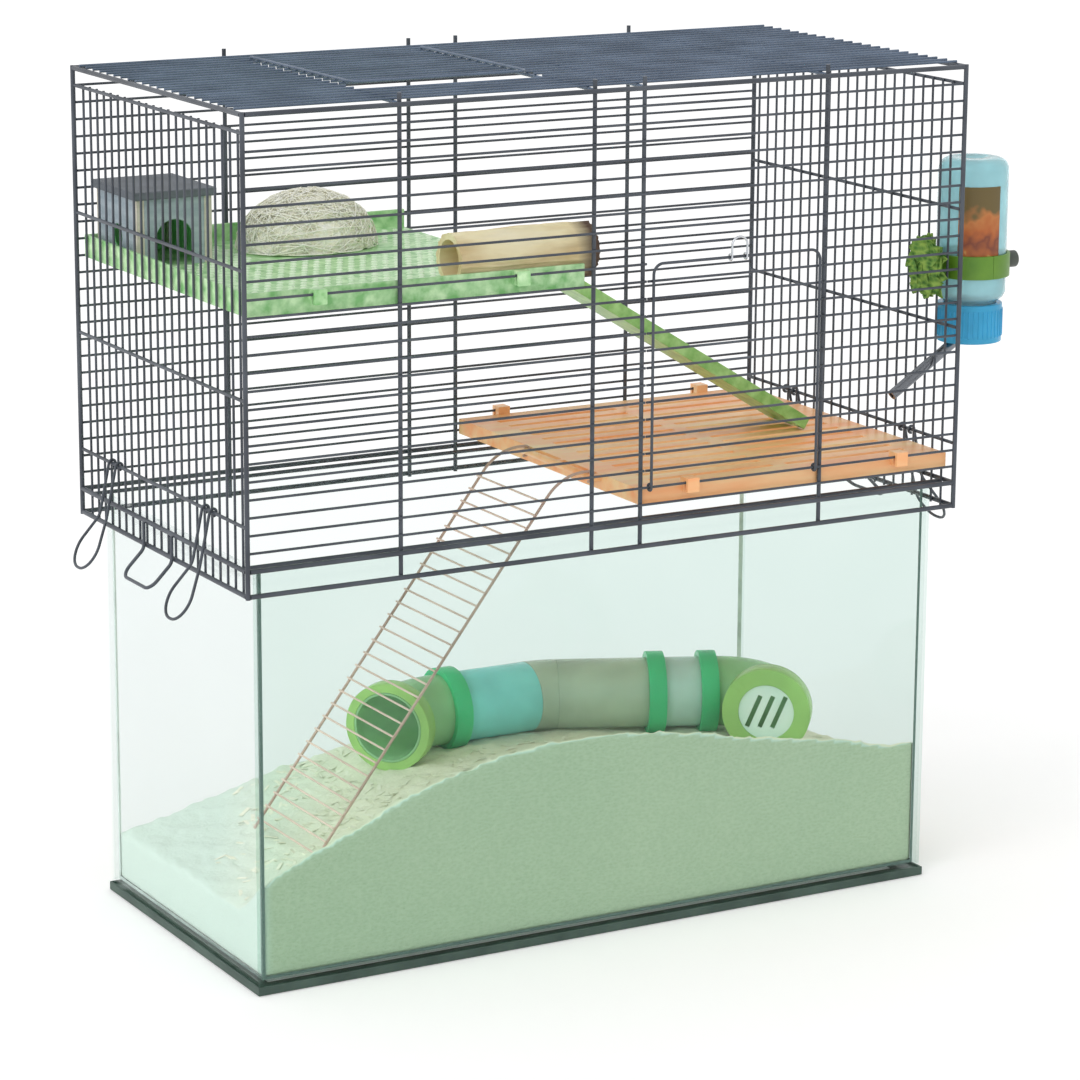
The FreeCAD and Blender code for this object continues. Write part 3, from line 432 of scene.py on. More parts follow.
# %% Wire and steel finishes
STEEL_SHINE = 1.15          # bright streaks of bare steel over its dark ones


def coated_wire(name, dark, light, peel):
    material, shader = new_finish(name, roughness=0.38)
    pools = noise(material, scale=22, detail=4)
    shades(material, shader, pools, [(0.35, dark), (0.68, light)])
    rough_by(material, shader, noise(material, scale=60), low=0.28, high=0.5)
    bump(material, shader, noise(material, peel, detail=2), depth=0.15 * MM, strength=0.5)
    return material


def bare_steel(name, colour, streak):
    material, shader = new_finish(name, roughness=0.25, Metallic=1.0)
    lines = noise(material, scale=300, detail=2, stretch=streak)
    bright = tuple(min(1.0, c * STEEL_SHINE) for c in colour)
    shades(material, shader, lines, [(0.3, colour), (0.7, bright)])
    rough_by(material, shader, lines, low=0.18, high=0.34)
    return material


slate_wire = coated_wire("slate_wire", rgb(56, 61, 70), rgb(80, 86, 95), peel=900)
roof_wire = coated_wire("roof_wire", rgb(75, 90, 110), rgb(100, 116, 138), peel=900)
ladder_wire = coated_wire("ladder_wire", rgb(176, 146, 132), rgb(202, 172, 158), peel=700)
rung_wire = coated_wire("rung_wire", rgb(214, 184, 170), rgb(238, 210, 196), peel=700)
plated_wire = bare_steel("plated_wire", rgb(196, 199, 204), streak=(1, 1, 1))
spout_steel = bare_steel("spout_steel", rgb(122, 125, 130), streak=(0.1, 1, 1))
dress(slate_wire, "front_panel", "back_panel", "left_panel", "right_panel", "rest_wires",
      "locating_loops", "front_door", "left_front_clip", "left_back_clip", "right_front_clip",
      "right_back_clip")
dress(roof_wire, "top_panel", "top_door")
dress(ladder_wire, "ladder_rails")
dress(rung_wire, "ladder_rungs")
dress(plated_wire, "door_latch_loop", "ramp_pin")
dress(spout_steel, "bottle_spout", "spout_ball")

# %% [markdown]
# ## Glass, sealant and edging
# Window glass is faintly green, and the tint shows because the tank is seen through two panes. Panes
# that bend light trap it where they meet, so the tint passes light straight and a clear coat on top
# gives the reflections. Faces that lie in one plane turn black, so each pane and bead stands a hair
# off its neighbours. Shadow rays pass the glass too, to light the bedding.

# %% Glass finishes
PATCH_TINT = 0.85           # tint of a pane's palest patches, over its full tint
GLASS_PLAY = 0.1 * MM       # shrinks each pane and bead on all sides


def tank_glass(name, tint, gloss=0.3):
    material, shader = new_finish(name, roughness=0.0, Transmission_Weight=1.0, IOR=1.0,
                                  Coat_Weight=gloss, Coat_Roughness=0.0, Coat_IOR=1.5)
    pale = tuple(1 - (1 - share) * PATCH_TINT for share in tint)
    shades(material, shader, noise(material, scale=5, detail=2), [(0.3, tint), (0.7, pale)])
    let_lamps_through(material, shader, tint)
    return material


def corner_sealant():
    """Cured sealant: grey in the front corners, and paler the further back it lies."""
    material, shader = new_finish("corner_sealant", roughness=0.35)
    low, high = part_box("silicone_beads")
    uneven = add_node(material, "ShaderNodeMath", operation="MULTIPLY")
    link(material, along(material, "Y", low.y, high.y), uneven.inputs[0])
    link(material, noise(material, scale=40), uneven.inputs[1])
    shades(material, shader, uneven.outputs["Value"],
           [(0.05, rgb(98, 118, 112)), (0.5, rgb(206, 222, 214))])
    bump(material, shader, noise(material, scale=200, detail=2), depth=0.3 * MM, strength=0.4)
    return material


def dark_edging():
    material, shader = new_finish("dark_edging", roughness=0.5)
    drift = noise(material, scale=30)
    shades(material, shader, drift, [(0.3, rgb(50, 70, 62)), (0.7, rgb(70, 92, 82))])
    bump(material, shader, noise(material, scale=1500, detail=2), depth=0.1 * MM, strength=0.5)
    return material


def weld(node):
    """Merges the loose triangles of a CAD node, so that the next modifier sees one skin."""
    merge = node.modifiers.new("weld", "WELD")
    merge.merge_threshold = ONE_POINT


def stand_off(*names):
    for name in names:
        weld(NODES[name])
        shrink = NODES[name].modifiers.new("stand off", "DISPLACE")
        shrink.mid_level = 0
        shrink.strength = -GLASS_PLAY


stand_off("floor_pane", "front_pane", "back_pane", "left_pane", "right_pane", "silicone_beads")
# The front pane gets a deeper tint than the other panes: painted shade.
dress(tank_glass("front_glass_shaded", (0.755, 0.85, 0.815, 1)), "front_pane")
dress(tank_glass("side_glass", (0.905, 0.944, 0.934, 1)), "floor_pane", "back_pane", "right_pane")
dress(tank_glass("left_glass", (0.885, 0.912, 0.91, 1), gloss=0.6), "left_pane")
dress(corner_sealant(), "silicone_beads")
dress(dark_edging(), "base_trim")

# %% [markdown]
# ## Plastics
# Platform, ramp, shelf, end plate and holder are moulded and glossy. Each gets two close shades, a
# fine mould grain and a slightly uneven gloss. Tubes, elbows, couplings and bottle are see-through to
# a degree, so they pass some light and tint it.

# %% Plastic finishes
ROUGH_DOWN, ROUGH_UP = 0.08, 0.12       # how far the roughness strays
DEEP_SHADE = 0.8                        # darker shade of a see-through plastic over its colour


def moulded(name, dark, light, roughness=0.32, drift=26, streak=(1, 1, 1)):
    material, shader = new_finish(name, roughness)
    blotches = noise(material, drift, detail=4, stretch=streak)
    shades(material, shader, blotches, [(0.32, dark), (0.68, light)])
    rough_by(material, shader, noise(material, scale=90), roughness - ROUGH_DOWN,
             roughness + ROUGH_UP)
    bump(material, shader, noise(material, scale=1200, detail=2), depth=0.12 * MM, strength=0.5)
    return material


def tinted(name, colour, clearness, roughness=0.12):
    material, shader = new_finish(name, roughness, Transmission_Weight=clearness, IOR=1.3)
    blotches = noise(material, scale=26, detail=3)
    shades(material, shader, blotches, [(0.32, times(colour, DEEP_SHADE)), (0.68, colour)])
    bump(material, shader, noise(material, scale=120, detail=2), depth=0.2 * MM, strength=0.3)
    let_lamps_through(material, shader, times(colour, clearness))
    return material


platform_green = moulded("platform_green", rgb(128, 194, 118), rgb(210, 246, 194), drift=110)
stud_green = moulded("stud_green", rgb(212, 242, 202), rgb(236, 252, 226))
ramp_green = moulded("ramp_green", rgb(116, 178, 80), rgb(176, 222, 140), drift=90)
shelf_orange = moulded("shelf_orange", rgb(255, 170, 108), rgb(255, 212, 158), drift=60,
                       streak=(0.15, 1, 1))
grille_pale = moulded("grille_pale", rgb(214, 240, 232), rgb(238, 252, 246))
strap_green = moulded("strap_green", rgb(74, 122, 28), rgb(104, 148, 42), roughness=0.4)
knob_dark = moulded("knob_dark", rgb(62, 68, 62), rgb(84, 90, 82), roughness=0.45)
coupling_green = tinted("coupling_green", rgb(92, 232, 166), clearness=0.3, roughness=0.25)
elbow_teal = tinted("elbow_teal", rgb(186, 240, 184), clearness=0.4, roughness=0.25)
coupling_lime = tinted("coupling_lime", rgb(184, 232, 140), clearness=0.2, roughness=0.25)
tube_blue = tinted("tube_blue", rgb(164, 255, 255), clearness=0.25)
tube_smoke = tinted("tube_smoke", rgb(230, 246, 228), clearness=0.55)
tube_mint = tinted("tube_mint", rgb(224, 255, 250), clearness=0.3)
dress(platform_green, "platform")
dress(ramp_green, "ramp")
dress(shelf_orange, "shelf")
dress(grille_pale, "tunnel_end_grille")
dress(strap_green, "holder_cradle", "holder_strap", "holder_pad")
dress(knob_dark, "strap_knob")
dress(coupling_green, "tunnel_blue_ring", "tunnel_first_ring", "tunnel_second_ring")
dress(elbow_teal, "tunnel_left_elbow", "tunnel_end_elbow")
dress(coupling_lime, "tunnel_left_collar", "tunnel_end_ring")
dress(tube_blue, "tunnel_blue_tube")
dress(tube_smoke, "tunnel_grey_bend", "tunnel_clear_tube")
dress(tube_mint, "tunnel_mint_tube")

# %% Bottle finishes
bottle_blue = tinted("bottle_blue", rgb(210, 250, 255), clearness=0.65)
cap_blue = tinted("cap_blue", rgb(84, 200, 250), clearness=0.25, roughness=0.25)
seal_rubber = moulded("seal_rubber", rgb(36, 38, 40), rgb(52, 54, 56), roughness=0.6)
dress(bottle_blue, "bottle_body")
dress(cap_blue, "bottle_cap")
dress(seal_rubber, "bottle_seal")

# %% [markdown]
# ## Wood, board and fibre
# Grain is noise stretched along the wood, and fibre is a pattern of small cells. Three finishes change
# from place to place: the house is green inside, with painted light, the log ends in dark bark, and
# the heap of bedding has painted light, paler where the light falls on it.

# %% Wood and fibre finishes
HALF_WALL = 1.2 * MM        # just under half the house's wall: the green inside ends within the board
FINER_BUMP = 1.6            # scale of a fibre's bump over that of its flecks
BARK_FROM, BARK_TO = 18 * MM, 4 * MM    # distances from the log's right end, from no bark to full bark
LEFT_PALE = 0.5             # share of the painted light on the heap's left face, which the light meets


def painted_board(name, dark, light):
    material, shader = new_finish(name, roughness=0.6)
    grain = noise(material, scale=30, detail=6, stretch=(1, 1, 6))
    shades(material, shader, grain, [(0.3, dark), (0.7, light)])
    pores = noise(material, scale=220, detail=4, stretch=(1, 1, 8))
    bump(material, shader, pores, depth=0.4 * MM, strength=0.6)
    return material


def painted_light_inside(material, low, high, colour):
    """Recolour what lies inside a box, in plan, such as the inner faces of a room's walls."""
    offset = add_node(material, "ShaderNodeVectorMath", operation="SUBTRACT")
    offset.inputs[1].default_value = (low + high) / 2
    link(material, place(material), offset.inputs[0])
    share = add_node(material, "ShaderNodeVectorMath", operation="DIVIDE")
    share.inputs[1].default_value = (high - low) / 2
    link(material, offset.outputs["Vector"], share.inputs[0])
    size = add_node(material, "ShaderNodeVectorMath", operation="ABSOLUTE")
    link(material, share.outputs["Vector"], size.inputs[0])
    split = add_node(material, "ShaderNodeSeparateXYZ")
    link(material, size.outputs["Vector"], split.inputs["Vector"])
    larger = add_node(material, "ShaderNodeMath", operation="MAXIMUM")
    link(material, split.outputs["X"], larger.inputs[0])
    link(material, split.outputs["Y"], larger.inputs[1])
    within = add_node(material, "ShaderNodeMath", operation="LESS_THAN")
    within.inputs[1].default_value = 1.0
    link(material, larger.outputs["Value"], within.inputs[0])
    recolour(material, within.outputs["Value"], colour)


def fibre(name, dark, middle, light, scale, depth):
    material, shader = new_finish(name, roughness=0.9)
    flecks = cells(material, scale, stretch=(1, 1, 2.2))
    shades(material, shader, flecks, [(0.05, dark), (0.35, middle), (0.8, light)])
    bump(material, shader, noise(material, scale * FINER_BUMP, detail=4), depth, strength=0.8)
    return material


def bark_wood():
    """Pale wood along the log, with a dark bark end on the right."""
    material, shader = new_finish("bark_wood", roughness=0.75)
    grain = noise(material, scale=40, detail=6, stretch=(0.35, 1, 1))
    shades(material, shader, grain, [(0.3, rgb(216, 190, 138)), (0.55, rgb(250, 238, 196)),
                                     (0.8, rgb(252, 244, 218))])
    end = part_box("log_tunnel")[1].x
    recolour(material, along(material, "X", end - BARK_FROM, end - BARK_TO), rgb(92, 72, 58))
    furrows = noise(material, scale=260, detail=4, stretch=(0.3, 1, 1))
    bump(material, shader, furrows, depth=0.5 * MM, strength=0.7)
    return material


def bedding_finish():
    """Sage on the front, with painted light: paler on its left face and palest on its top, where the
    light falls.
    """
    material = fibre("bedding_fibre", rgb(176, 190, 162), rgb(184, 197, 169), rgb(192, 203, 176),
                     scale=260, depth=0.8 * MM)
    # The painted light: 0 on the front, LEFT_PALE on the left face, 1 on the top.
    painted_light_share = add_node(material, "ShaderNodeAttribute", attribute_name="painted_light_share")
    pale = graded(material, painted_light_share.outputs["Fac"],
                  [(LEFT_PALE, rgb(204, 222, 210)), (1.0, rgb(236, 237, 214))])
    share = add_node(material, "ShaderNodeMapRange")
    share.inputs["From Max"].default_value = LEFT_PALE
    link(material, painted_light_share.outputs["Fac"], share.inputs["Value"])
    recolour(material, share.outputs["Result"], pale)
    return material


bedding_fibre = bedding_finish()
shaving_fibre = fibre("shaving_fibre", rgb(222, 226, 202), rgb(232, 234, 212), rgb(240, 240, 222),
                      scale=220, depth=0.5 * MM)
hay_fibre = fibre("hay_fibre", rgb(244, 241, 216), rgb(252, 251, 234), rgb(255, 255, 246),
                  scale=200, depth=1.0 * MM)
leaf_green = fibre("leaf_green", rgb(48, 86, 32), rgb(88, 134, 56), rgb(142, 174, 80),
                   scale=130, depth=0.6 * MM)
log_wood = bark_wood()
house_grey = painted_board("house_grey", rgb(150, 166, 176), rgb(180, 193, 200))
house_pale = painted_board("house_pale", rgb(198, 192, 176), rgb(222, 216, 202))
house_slate = painted_board("house_slate", rgb(86, 92, 98), rgb(108, 114, 122))
house_low, house_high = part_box("house_walls")
half_wall = Vector((HALF_WALL, HALF_WALL, 0))
# The walls are green inside, paler than they look, so that the dim inside still shows green: painted
# light.
painted_light_inside(house_grey, house_low + half_wall, house_high - half_wall, rgb(150, 236, 160))
dress(house_grey, "house_walls")
dress(house_pale, "house_posts")
dress(house_slate, "house_roof")
dress(bedding_fibre, "bedding")
dress(hay_fibre, "nest_hay")
dress(log_wood, "log_tunnel")

# %% [markdown]
# ## Loose bedding
# The solid heap has the right outline but a machined skin. A voxel remesh of a copy makes one even
# skin over bank and layer, two sizes of noise lift and sink its top, and shavings are strewn over it.
# The shavings are one small curled strip, copied many times, so they cost few faces each. The heap is
# paler and barer behind the left pane, as the photo shows it. Its colour holds painted light: paler on
# its top and left face, where the light falls, and a painted shade that holds the top down behind the
# left pane.

# %% Bedding
BED_LOW, BED_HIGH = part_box("bedding")
BED_VOXEL = 3.2 * MM
BED_SHRINK = 0.9985         # keeps the skin off the glass
PALE_DRIFT = 110 * MM       # width over which the heap's top goes from pale to cream
TOP_FROM, TOP_OVER = 0.2, 0.4       # upward part of a normal where the top begins, and its rise to full
LEFT_GAIN = 2.0             # how soon a face that turns left counts as the left face
SMOOTH_ROUNDS = 12
LUMPS = (24 * MM, 5 * MM)           # size and height
CRUMBS = (6 * MM, 2.4 * MM)
SHAVING_COUNT = 1500
SHAVING_SIZE = (10 * MM, 2.6 * MM)
SHAVING_THICKNESS = 0.35 * MM
SHAVING_CURL = math.radians(75)
SHAVING_SPREAD = (0.6, 1.25)        # smallest and largest copy
SHAVING_LEAN = 0.5
SHAVING_LIFT = 0.4 * MM
SHAVING_SLOPE = 0.5         # least upward part of a normal that holds a shaving


def cloud_displace(piece, label, scale, strength, group=""):
    texture = bpy.data.textures.new(label, "CLOUDS")
    texture.noise_scale = scale
    shift = piece.modifiers.new(label, "DISPLACE")
    shift.texture = texture
    shift.strength = strength
    shift.vertex_group = group
    if group:
        shift.direction = "Z"


def one_skin(piece, voxel):
    remesh = piece.modifiers.new("one skin", "REMESH")
    remesh.mode = "VOXEL"
    remesh.voxel_size = voxel
    apply_modifiers(piece)


def left_pane_share(point):
    """1 well behind the left pane, where the heap is paler, drifting to 0 behind the front pane. There
    the painted light on the top is held down to that of the left face, a painted shade, and fewer
    shavings lie.
    """
    inside = (point.y - BED_LOW.y) * math.tan(-CAMERA_AZIMUTH) - (point.x - BED_LOW.x)
    return clamped(0.5 + inside / PALE_DRIFT)


def bedding_skin():
    heap = copy_of("bedding")
    heap.scale = (BED_SHRINK, BED_SHRINK, 1)
    bpy.ops.object.transform_apply(scale=True)
    one_skin(heap, BED_VOXEL)
    points = heap.data.vertices
    # Painted light: points that face up, and those that face left, get a paler share; behind the left
    # pane the top's share is held down, a painted shade.
    tops = [clamped((point.normal.z - TOP_FROM) / TOP_OVER) for point in points]
    lefts = [clamped(-point.normal.x * LEFT_GAIN) * LEFT_PALE for point in points]
    near_left = [left_pane_share(point.co) for point in points]
    group = heap.vertex_groups.new(name="top")
    for index, share in enumerate(tops):
        group.add([index], share, "REPLACE")
    painted_light_share = heap.data.attributes.new("painted_light_share", "FLOAT", "POINT")
    dimmed_tops = [share * (1 - (1 - LEFT_PALE) * near) for share, near in zip(tops, near_left)]
    painted_light_share.data.foreach_set("value", [max(pair) for pair in zip(dimmed_tops, lefts)])
    settled = heap.modifiers.new("settled", "SMOOTH")
    settled.iterations = SMOOTH_ROUNDS
    settled.vertex_group = "top"
    cloud_displace(heap, "lumps", *LUMPS, group="top")
    cloud_displace(heap, "crumbs", *CRUMBS, group="top")
    apply_modifiers(heap)
    bpy.ops.object.shade_smooth()
    return heap


def shaving():
    bpy.ops.mesh.primitive_grid_add(x_subdivisions=4, y_subdivisions=1, size=1)
    strip = bpy.context.active_object
    strip.scale = (*SHAVING_SIZE, 1)
    bpy.ops.object.transform_apply(scale=True)
    curl = strip.modifiers.new("curl", "SIMPLE_DEFORM")
    curl.deform_method = "BEND"
    curl.deform_axis = "Y"
    curl.angle = SHAVING_CURL
    body = strip.modifiers.new("body", "SOLIDIFY")
    body.thickness = SHAVING_THICKNESS
    return apply_modifiers(strip)


def strewn_shavings(heap):
    chance = random.Random(7)
    low, high = BED_LOW, BED_HIGH
    margin = SHAVING_SIZE[0]
    tubes = [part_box(name) for name in NODES if name.startswith("tunnel_")]

    def open_top(vertex):
        x, y, _ = vertex.co
        inside = low.x + margin < x < high.x - margin and low.y + margin < y < high.y - margin
        under = any(a.x < x < b.x and a.y < y < b.y for a, b in tubes)
        return vertex.normal.z > SHAVING_SLOPE and inside and not under

    spots = [v for v in heap.data.vertices if open_top(v)]
    places = []
    for vertex in chance.sample(spots, min(SHAVING_COUNT, len(spots))):
        if chance.random() < left_pane_share(vertex.co):
            continue
        lean_x = chance.uniform(-SHAVING_LEAN, SHAVING_LEAN)
        lean_y = chance.uniform(-SHAVING_LEAN, SHAVING_LEAN)
        lean = Vector((lean_x, lean_y, 1)) + vertex.normal
        turn = lean.to_track_quat("Z", "Y").to_matrix().to_4x4()
        spin = Matrix.Rotation(chance.uniform(0, math.tau), 4, "Z")
        size = Matrix.Scale(chance.uniform(*SHAVING_SPREAD), 4)
        spot = Matrix.Translation(vertex.co + vertex.normal * SHAVING_LIFT)
        places.append(spot @ turn @ spin @ size)
    return merged_copies(shaving(), places, "shavings")


heap = bedding_skin()
shavings = strewn_shavings(heap)
settle(heap, "bedding_heap", "tank", bedding_fibre, ["bedding"])
settle(shavings, "bedding_shavings", "tank", shaving_fibre)

# %% [markdown]
# ## Hay
# A nest is a mound with stalks that follow its round. The stalks are polylines on the mound's dome,
# each turned a little further round it at every point, and one curve object gives them all their
# thickness.

# %% Hay nest
HAY_LOW, HAY_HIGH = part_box("nest_hay")
HAY_MIDDLE = (HAY_LOW + HAY_HIGH) / 2
HAY_VOXEL = 2.6 * MM
TUFTS = (13 * MM, 7 * MM)           # size and height
MOUND_SHARE = 0.93          # size of the mound under the stalks
MOUND_LIFT = 0.2 * MM       # keeps the mound off the platform's floor
DOME_SHARE = 0.97           # size of the dome that the stalks follow
STALK_COUNT = 800
STALK_POINTS = 6
STALK_RADIUS = 0.45 * MM
STALK_STEP = (0.1, 0.22)            # radians between two points of a stalk, least and most
STALK_LIFT = (0.9, 1.05)            # shares of the dome's size
STALK_RISE = 0.1            # tips the stalks' first points upwards
STALK_LOW = 0.03            # lowest point of a stalk, as a share of the dome's height


def hay_mound():
    mound = copy_of("nest_hay")
    one_skin(mound, HAY_VOXEL)
    cloud_displace(mound, "tufts", *TUFTS)
    apply_modifiers(mound)
    foot = Vector((HAY_MIDDLE.x, HAY_MIDDLE.y, HAY_LOW.z))
    shrink = Matrix.Diagonal((MOUND_SHARE, MOUND_SHARE, MOUND_SHARE, 1))
    mound.data.transform(Matrix.Translation(foot) @ shrink @ Matrix.Translation(-foot))
    for vertex in mound.data.vertices:
        vertex.co.z = max(vertex.co.z, HAY_LOW.z + MOUND_LIFT)
    return mound


def hay_stalks():
    chance = random.Random(11)
    size = HAY_HIGH - HAY_LOW
    dome = Vector((size.x / 2, size.y / 2, size.z)) * DOME_SHARE
    curve = bpy.data.curves.new("stalks", "CURVE")
    curve.dimensions = "3D"
    curve.bevel_depth = STALK_RADIUS
    curve.bevel_resolution = 0
    curve.use_fill_caps = True
    for _ in range(STALK_COUNT):
        way = Vector((chance.gauss(0, 1), chance.gauss(0, 1), abs(chance.gauss(0, 1)) + STALK_RISE))
        way.normalize()
        hinge = way.orthogonal().normalized()
        hinge.rotate(Matrix.Rotation(chance.uniform(0, math.tau), 3, way))
        step = Matrix.Rotation(chance.uniform(*STALK_STEP), 3, hinge)
        lift = chance.uniform(*STALK_LIFT)
        spline = curve.splines.new("POLY")
        spline.points.add(STALK_POINTS - 1)
        for point in spline.points:
            x = HAY_MIDDLE.x + way.x * dome.x * lift
            y = HAY_MIDDLE.y + way.y * dome.y * lift
            z = HAY_LOW.z + max(way.z, STALK_LOW) * dome.z * lift
            point.co = (x, y, z, 1)
            way = step @ way
    only(placed("stalks", curve))
    bpy.ops.object.convert(target="MESH")
    return bpy.context.active_object


settle(hay_mound(), "hay_mound", "wire_top", hay_fibre, ["nest_hay"])
settle(hay_stalks(), "hay_stalks", "wire_top", hay_fibre)

# %% [markdown]
# ## Turned and rolled forms
# A log, a bottle and its label are all a profile spun round an axis. One helper draws the profile as
# a line of edges and spins it, by a full turn or by a part of one.

# %% Spin helper
SMOOTH_BELOW = math.radians(40)     # edges that turn less than this are shaded as round


def spun(points, centre, axis, across, steps, angle=math.tau):
    """Spin (radius, height) points round an axis through a centre, starting along across."""
    mesh = bpy.data.meshes.new("profile")
    line = [centre + across * radius + axis * height for radius, height in points]
    mesh.from_pydata([tuple(v) for v in line], [(n, n + 1) for n in range(len(line) - 1)], [])
    piece = placed("profile", mesh)
    with editing(piece):
        bpy.ops.mesh.spin(steps=steps, angle=angle, center=centre, axis=axis)
        bpy.ops.mesh.select_all(action="SELECT")
        bpy.ops.mesh.remove_doubles(threshold=ONE_POINT)
        bpy.ops.mesh.normals_make_consistent(inside=False)
    bpy.ops.object.shade_smooth_by_angle(angle=SMOOTH_BELOW)
    return piece


def rounded(corner, radius, start, end, count=6):
    """Points of an arc, in (radius, height), round a centre between two angles in degrees."""
    turns = [math.radians(start + (end - start) * n / count) for n in range(count + 1)]
    return [(corner[0] + radius * math.cos(t), corner[1] + radius * math.sin(t)) for t in turns]


# %% [markdown]
# ## Log
# Bark has long ridges that run with the grain. Here the ridges are noise stretched along the log, and
# they only cut into the outer skin, so the log keeps its true diameter and its bore stays round.

# %% Log
BORE_SHARE = 29 / 41        # bore over the log's diameter
BARK_DEPTH = 2.2 * MM
LOG_RINGS = 54
LOG_STEPS = 96
SKIN_SHARE = 0.98           # points beyond this share of the radius are bark
RIDGES_ALONG = 9            # noise cells in a metre of length
RIDGES_ROUND = 4.5          # noise cells in a radius, seen from the log's end
RIDGE_NOISE = (1.0, 2.0, 4)     # roughness, step between octaves, and octaves
RIDGE_GAIN = 1.6


def bark_log():
    low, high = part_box("log_tunnel")
    length = high.x - low.x
    radius = (high.z - low.z) / 2
    axis_at = Vector((low.x, (low.y + high.y) / 2, (low.z + high.z) / 2))
    outside = [(radius, length * n / LOG_RINGS) for n in range(LOG_RINGS + 1)]
    inside = [(radius * BORE_SHARE, length), (radius * BORE_SHARE, 0)]
    log = spun(outside + inside + outside[:1], axis_at, RIGHT, UP, LOG_STEPS)
    for vertex in log.data.vertices:
        spoke = vertex.co - axis_at
        along_log = spoke.x
        spoke.x = 0
        if spoke.length > radius * SKIN_SHARE:
            turn = spoke.normalized()
            at = Vector((along_log * RIDGES_ALONG, turn.y * RIDGES_ROUND, turn.z * RIDGES_ROUND))
            height = min(1.0, abs(fractal(at, *RIDGE_NOISE)) * RIDGE_GAIN)
            vertex.co -= turn * BARK_DEPTH * (1 - height)
    return log


settle(bark_log(), "bark_log", "wire_top", log_wood, ["log_tunnel"])

# %% [markdown]
# ## Grip studs
# The platform's floor is speckled with low studs. They are cut off eight-sided cones in a staggered
# grid, left out where something stands on the floor.

# %% Platform studs
STUD_PITCH = 9.5 * MM
STUD_RADIUS = 2.7 * MM
STUD_TOP = 0.6              # share of the radius that is left at the top
STUD_HEIGHT = 0.8 * MM
PLATFORM_WALL = 2.5 * MM
PLATFORM_FLOOR = 3.0 * MM
HOOK_REACH = 7 * MM         # hooks at the front and back of the platform
RIGHT_REACH = 8 * MM        # hinge lugs at its right end


def grip_studs():
    low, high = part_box("platform")
    edge = PLATFORM_WALL + HOOK_REACH
    inner_low = low + Vector((PLATFORM_WALL, edge, PLATFORM_FLOOR))
    inner_high = high - Vector((RIGHT_REACH, edge, 0))
    standing = [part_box(name) for name in ("house_roof", "nest_hay", "log_tunnel")]

    def held(x, y):
        spread = STUD_RADIUS
        return any(a.x - spread < x < b.x + spread and a.y - spread < y < b.y + spread
                   for a, b in standing)

    bpy.ops.mesh.primitive_cone_add(vertices=8, radius1=STUD_RADIUS, radius2=STUD_RADIUS * STUD_TOP,
                                    depth=STUD_HEIGHT)
    stud = bpy.context.active_object
    places = []
    rows = int((inner_high.y - inner_low.y) / STUD_PITCH)
    columns = int((inner_high.x - inner_low.x) / STUD_PITCH)
    for row in range(rows):
        for column in range(columns):
            x = inner_low.x + (column + 0.5 + 0.5 * (row % 2)) * STUD_PITCH
            y = inner_low.y + (row + 0.5) * STUD_PITCH
            if x < inner_high.x - STUD_RADIUS and not held(x, y):
                places.append(Matrix.Translation((x, y, inner_low.z + STUD_HEIGHT / 2)))
    return merged_copies(stud, places, "studs")


settle(grip_studs(), "platform_studs", "wire_top", stud_green)

# %% [markdown]
# ## Bottle, label and cap
# The bottle hangs upside down. Its profile runs up the outside and back down the inside, so the wall
# is real and the plastic can be seen through. The label is a thin strip of a turn with a made-up
# pattern in warm colours, and the cap gets grip ribs.

# %% Bottle
BOTTLE_LOW, BOTTLE_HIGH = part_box("bottle_body")
BOTTLE_MIDDLE = (BOTTLE_LOW + BOTTLE_HIGH) / 2
BOTTLE_FOOT = Vector((BOTTLE_MIDDLE.x, BOTTLE_MIDDLE.y, BOTTLE_LOW.z))
BOTTLE_HEIGHT = BOTTLE_HIGH.z - BOTTLE_LOW.z
BOTTLE_RADIUS = (BOTTLE_HIGH.x - BOTTLE_LOW.x) / 2
BOTTLE_WALL = 1.5 * MM
BOTTLE_STEPS = 72
NECK_RADIUS = 20 * MM
NECK_LENGTH = 12 * MM
SHOULDER = 8 * MM           # radius of the shoulder's round
SHOULDER_RISE = 10 * MM     # from the neck to the middle of that round
SHOULDER_FROM = -70         # degrees where that round leaves the neck
WALL_RINGS = (0.3, 0.45, 0.6, 0.75)     # heights of rings in the straight wall, as shares
ROUND_TOP = 9 * MM
DISH = (0.35, 0.25)         # outer and inner radius of the dished end's step, as shares
DISH_DEPTH = 2 * MM
TOP_SHARE = 0.8             # the inside is lowered by a wall above this share of the height
LABEL_HEIGHT = (0.40, 0.84)     # shares of the bottle's height
LABEL_FROM = math.radians(-76)  # right edge of the label; the spin runs clockwise from it
LABEL_TURN = math.radians(72)
LABEL_STEPS = 40
LABEL_GAP = 0.05 * MM
LABEL_PROUD = 0.3 * MM
LABEL_WAVE = 0.5            # height of the waves, as a share of the label's height
LABEL_SPAN = 1.3            # level of the bands at the end of the colour ramp
RIB_COUNT = 40
RIB_SIZE = (1.4 * MM, 1.5 * MM)
RIB_SHARE = 0.72            # rib over the cap's height
RIB_BEVEL = 0.4 * MM


def hanging_bottle():
    height, radius = BOTTLE_HEIGHT, BOTTLE_RADIUS
    outside = [(NECK_RADIUS, 0), (NECK_RADIUS, NECK_LENGTH)]
    outside += rounded((radius - SHOULDER, NECK_LENGTH + SHOULDER_RISE), SHOULDER, SHOULDER_FROM, 0)
    outside += [(radius, height * share) for share in WALL_RINGS]
    outside += rounded((radius - ROUND_TOP, height - ROUND_TOP), ROUND_TOP, 0, 90)
    outside += [(radius * DISH[0], height), (radius * DISH[1], height - DISH_DEPTH),
                (0, height - DISH_DEPTH)]
    inside = []
    for r, h in reversed(outside):
        lowered = BOTTLE_WALL * (h > height * TOP_SHARE)
        inside.append((max(0.0, r - BOTTLE_WALL), h - lowered))
    return spun(outside + inside + outside[:1], BOTTLE_FOOT, UP, RIGHT, BOTTLE_STEPS)


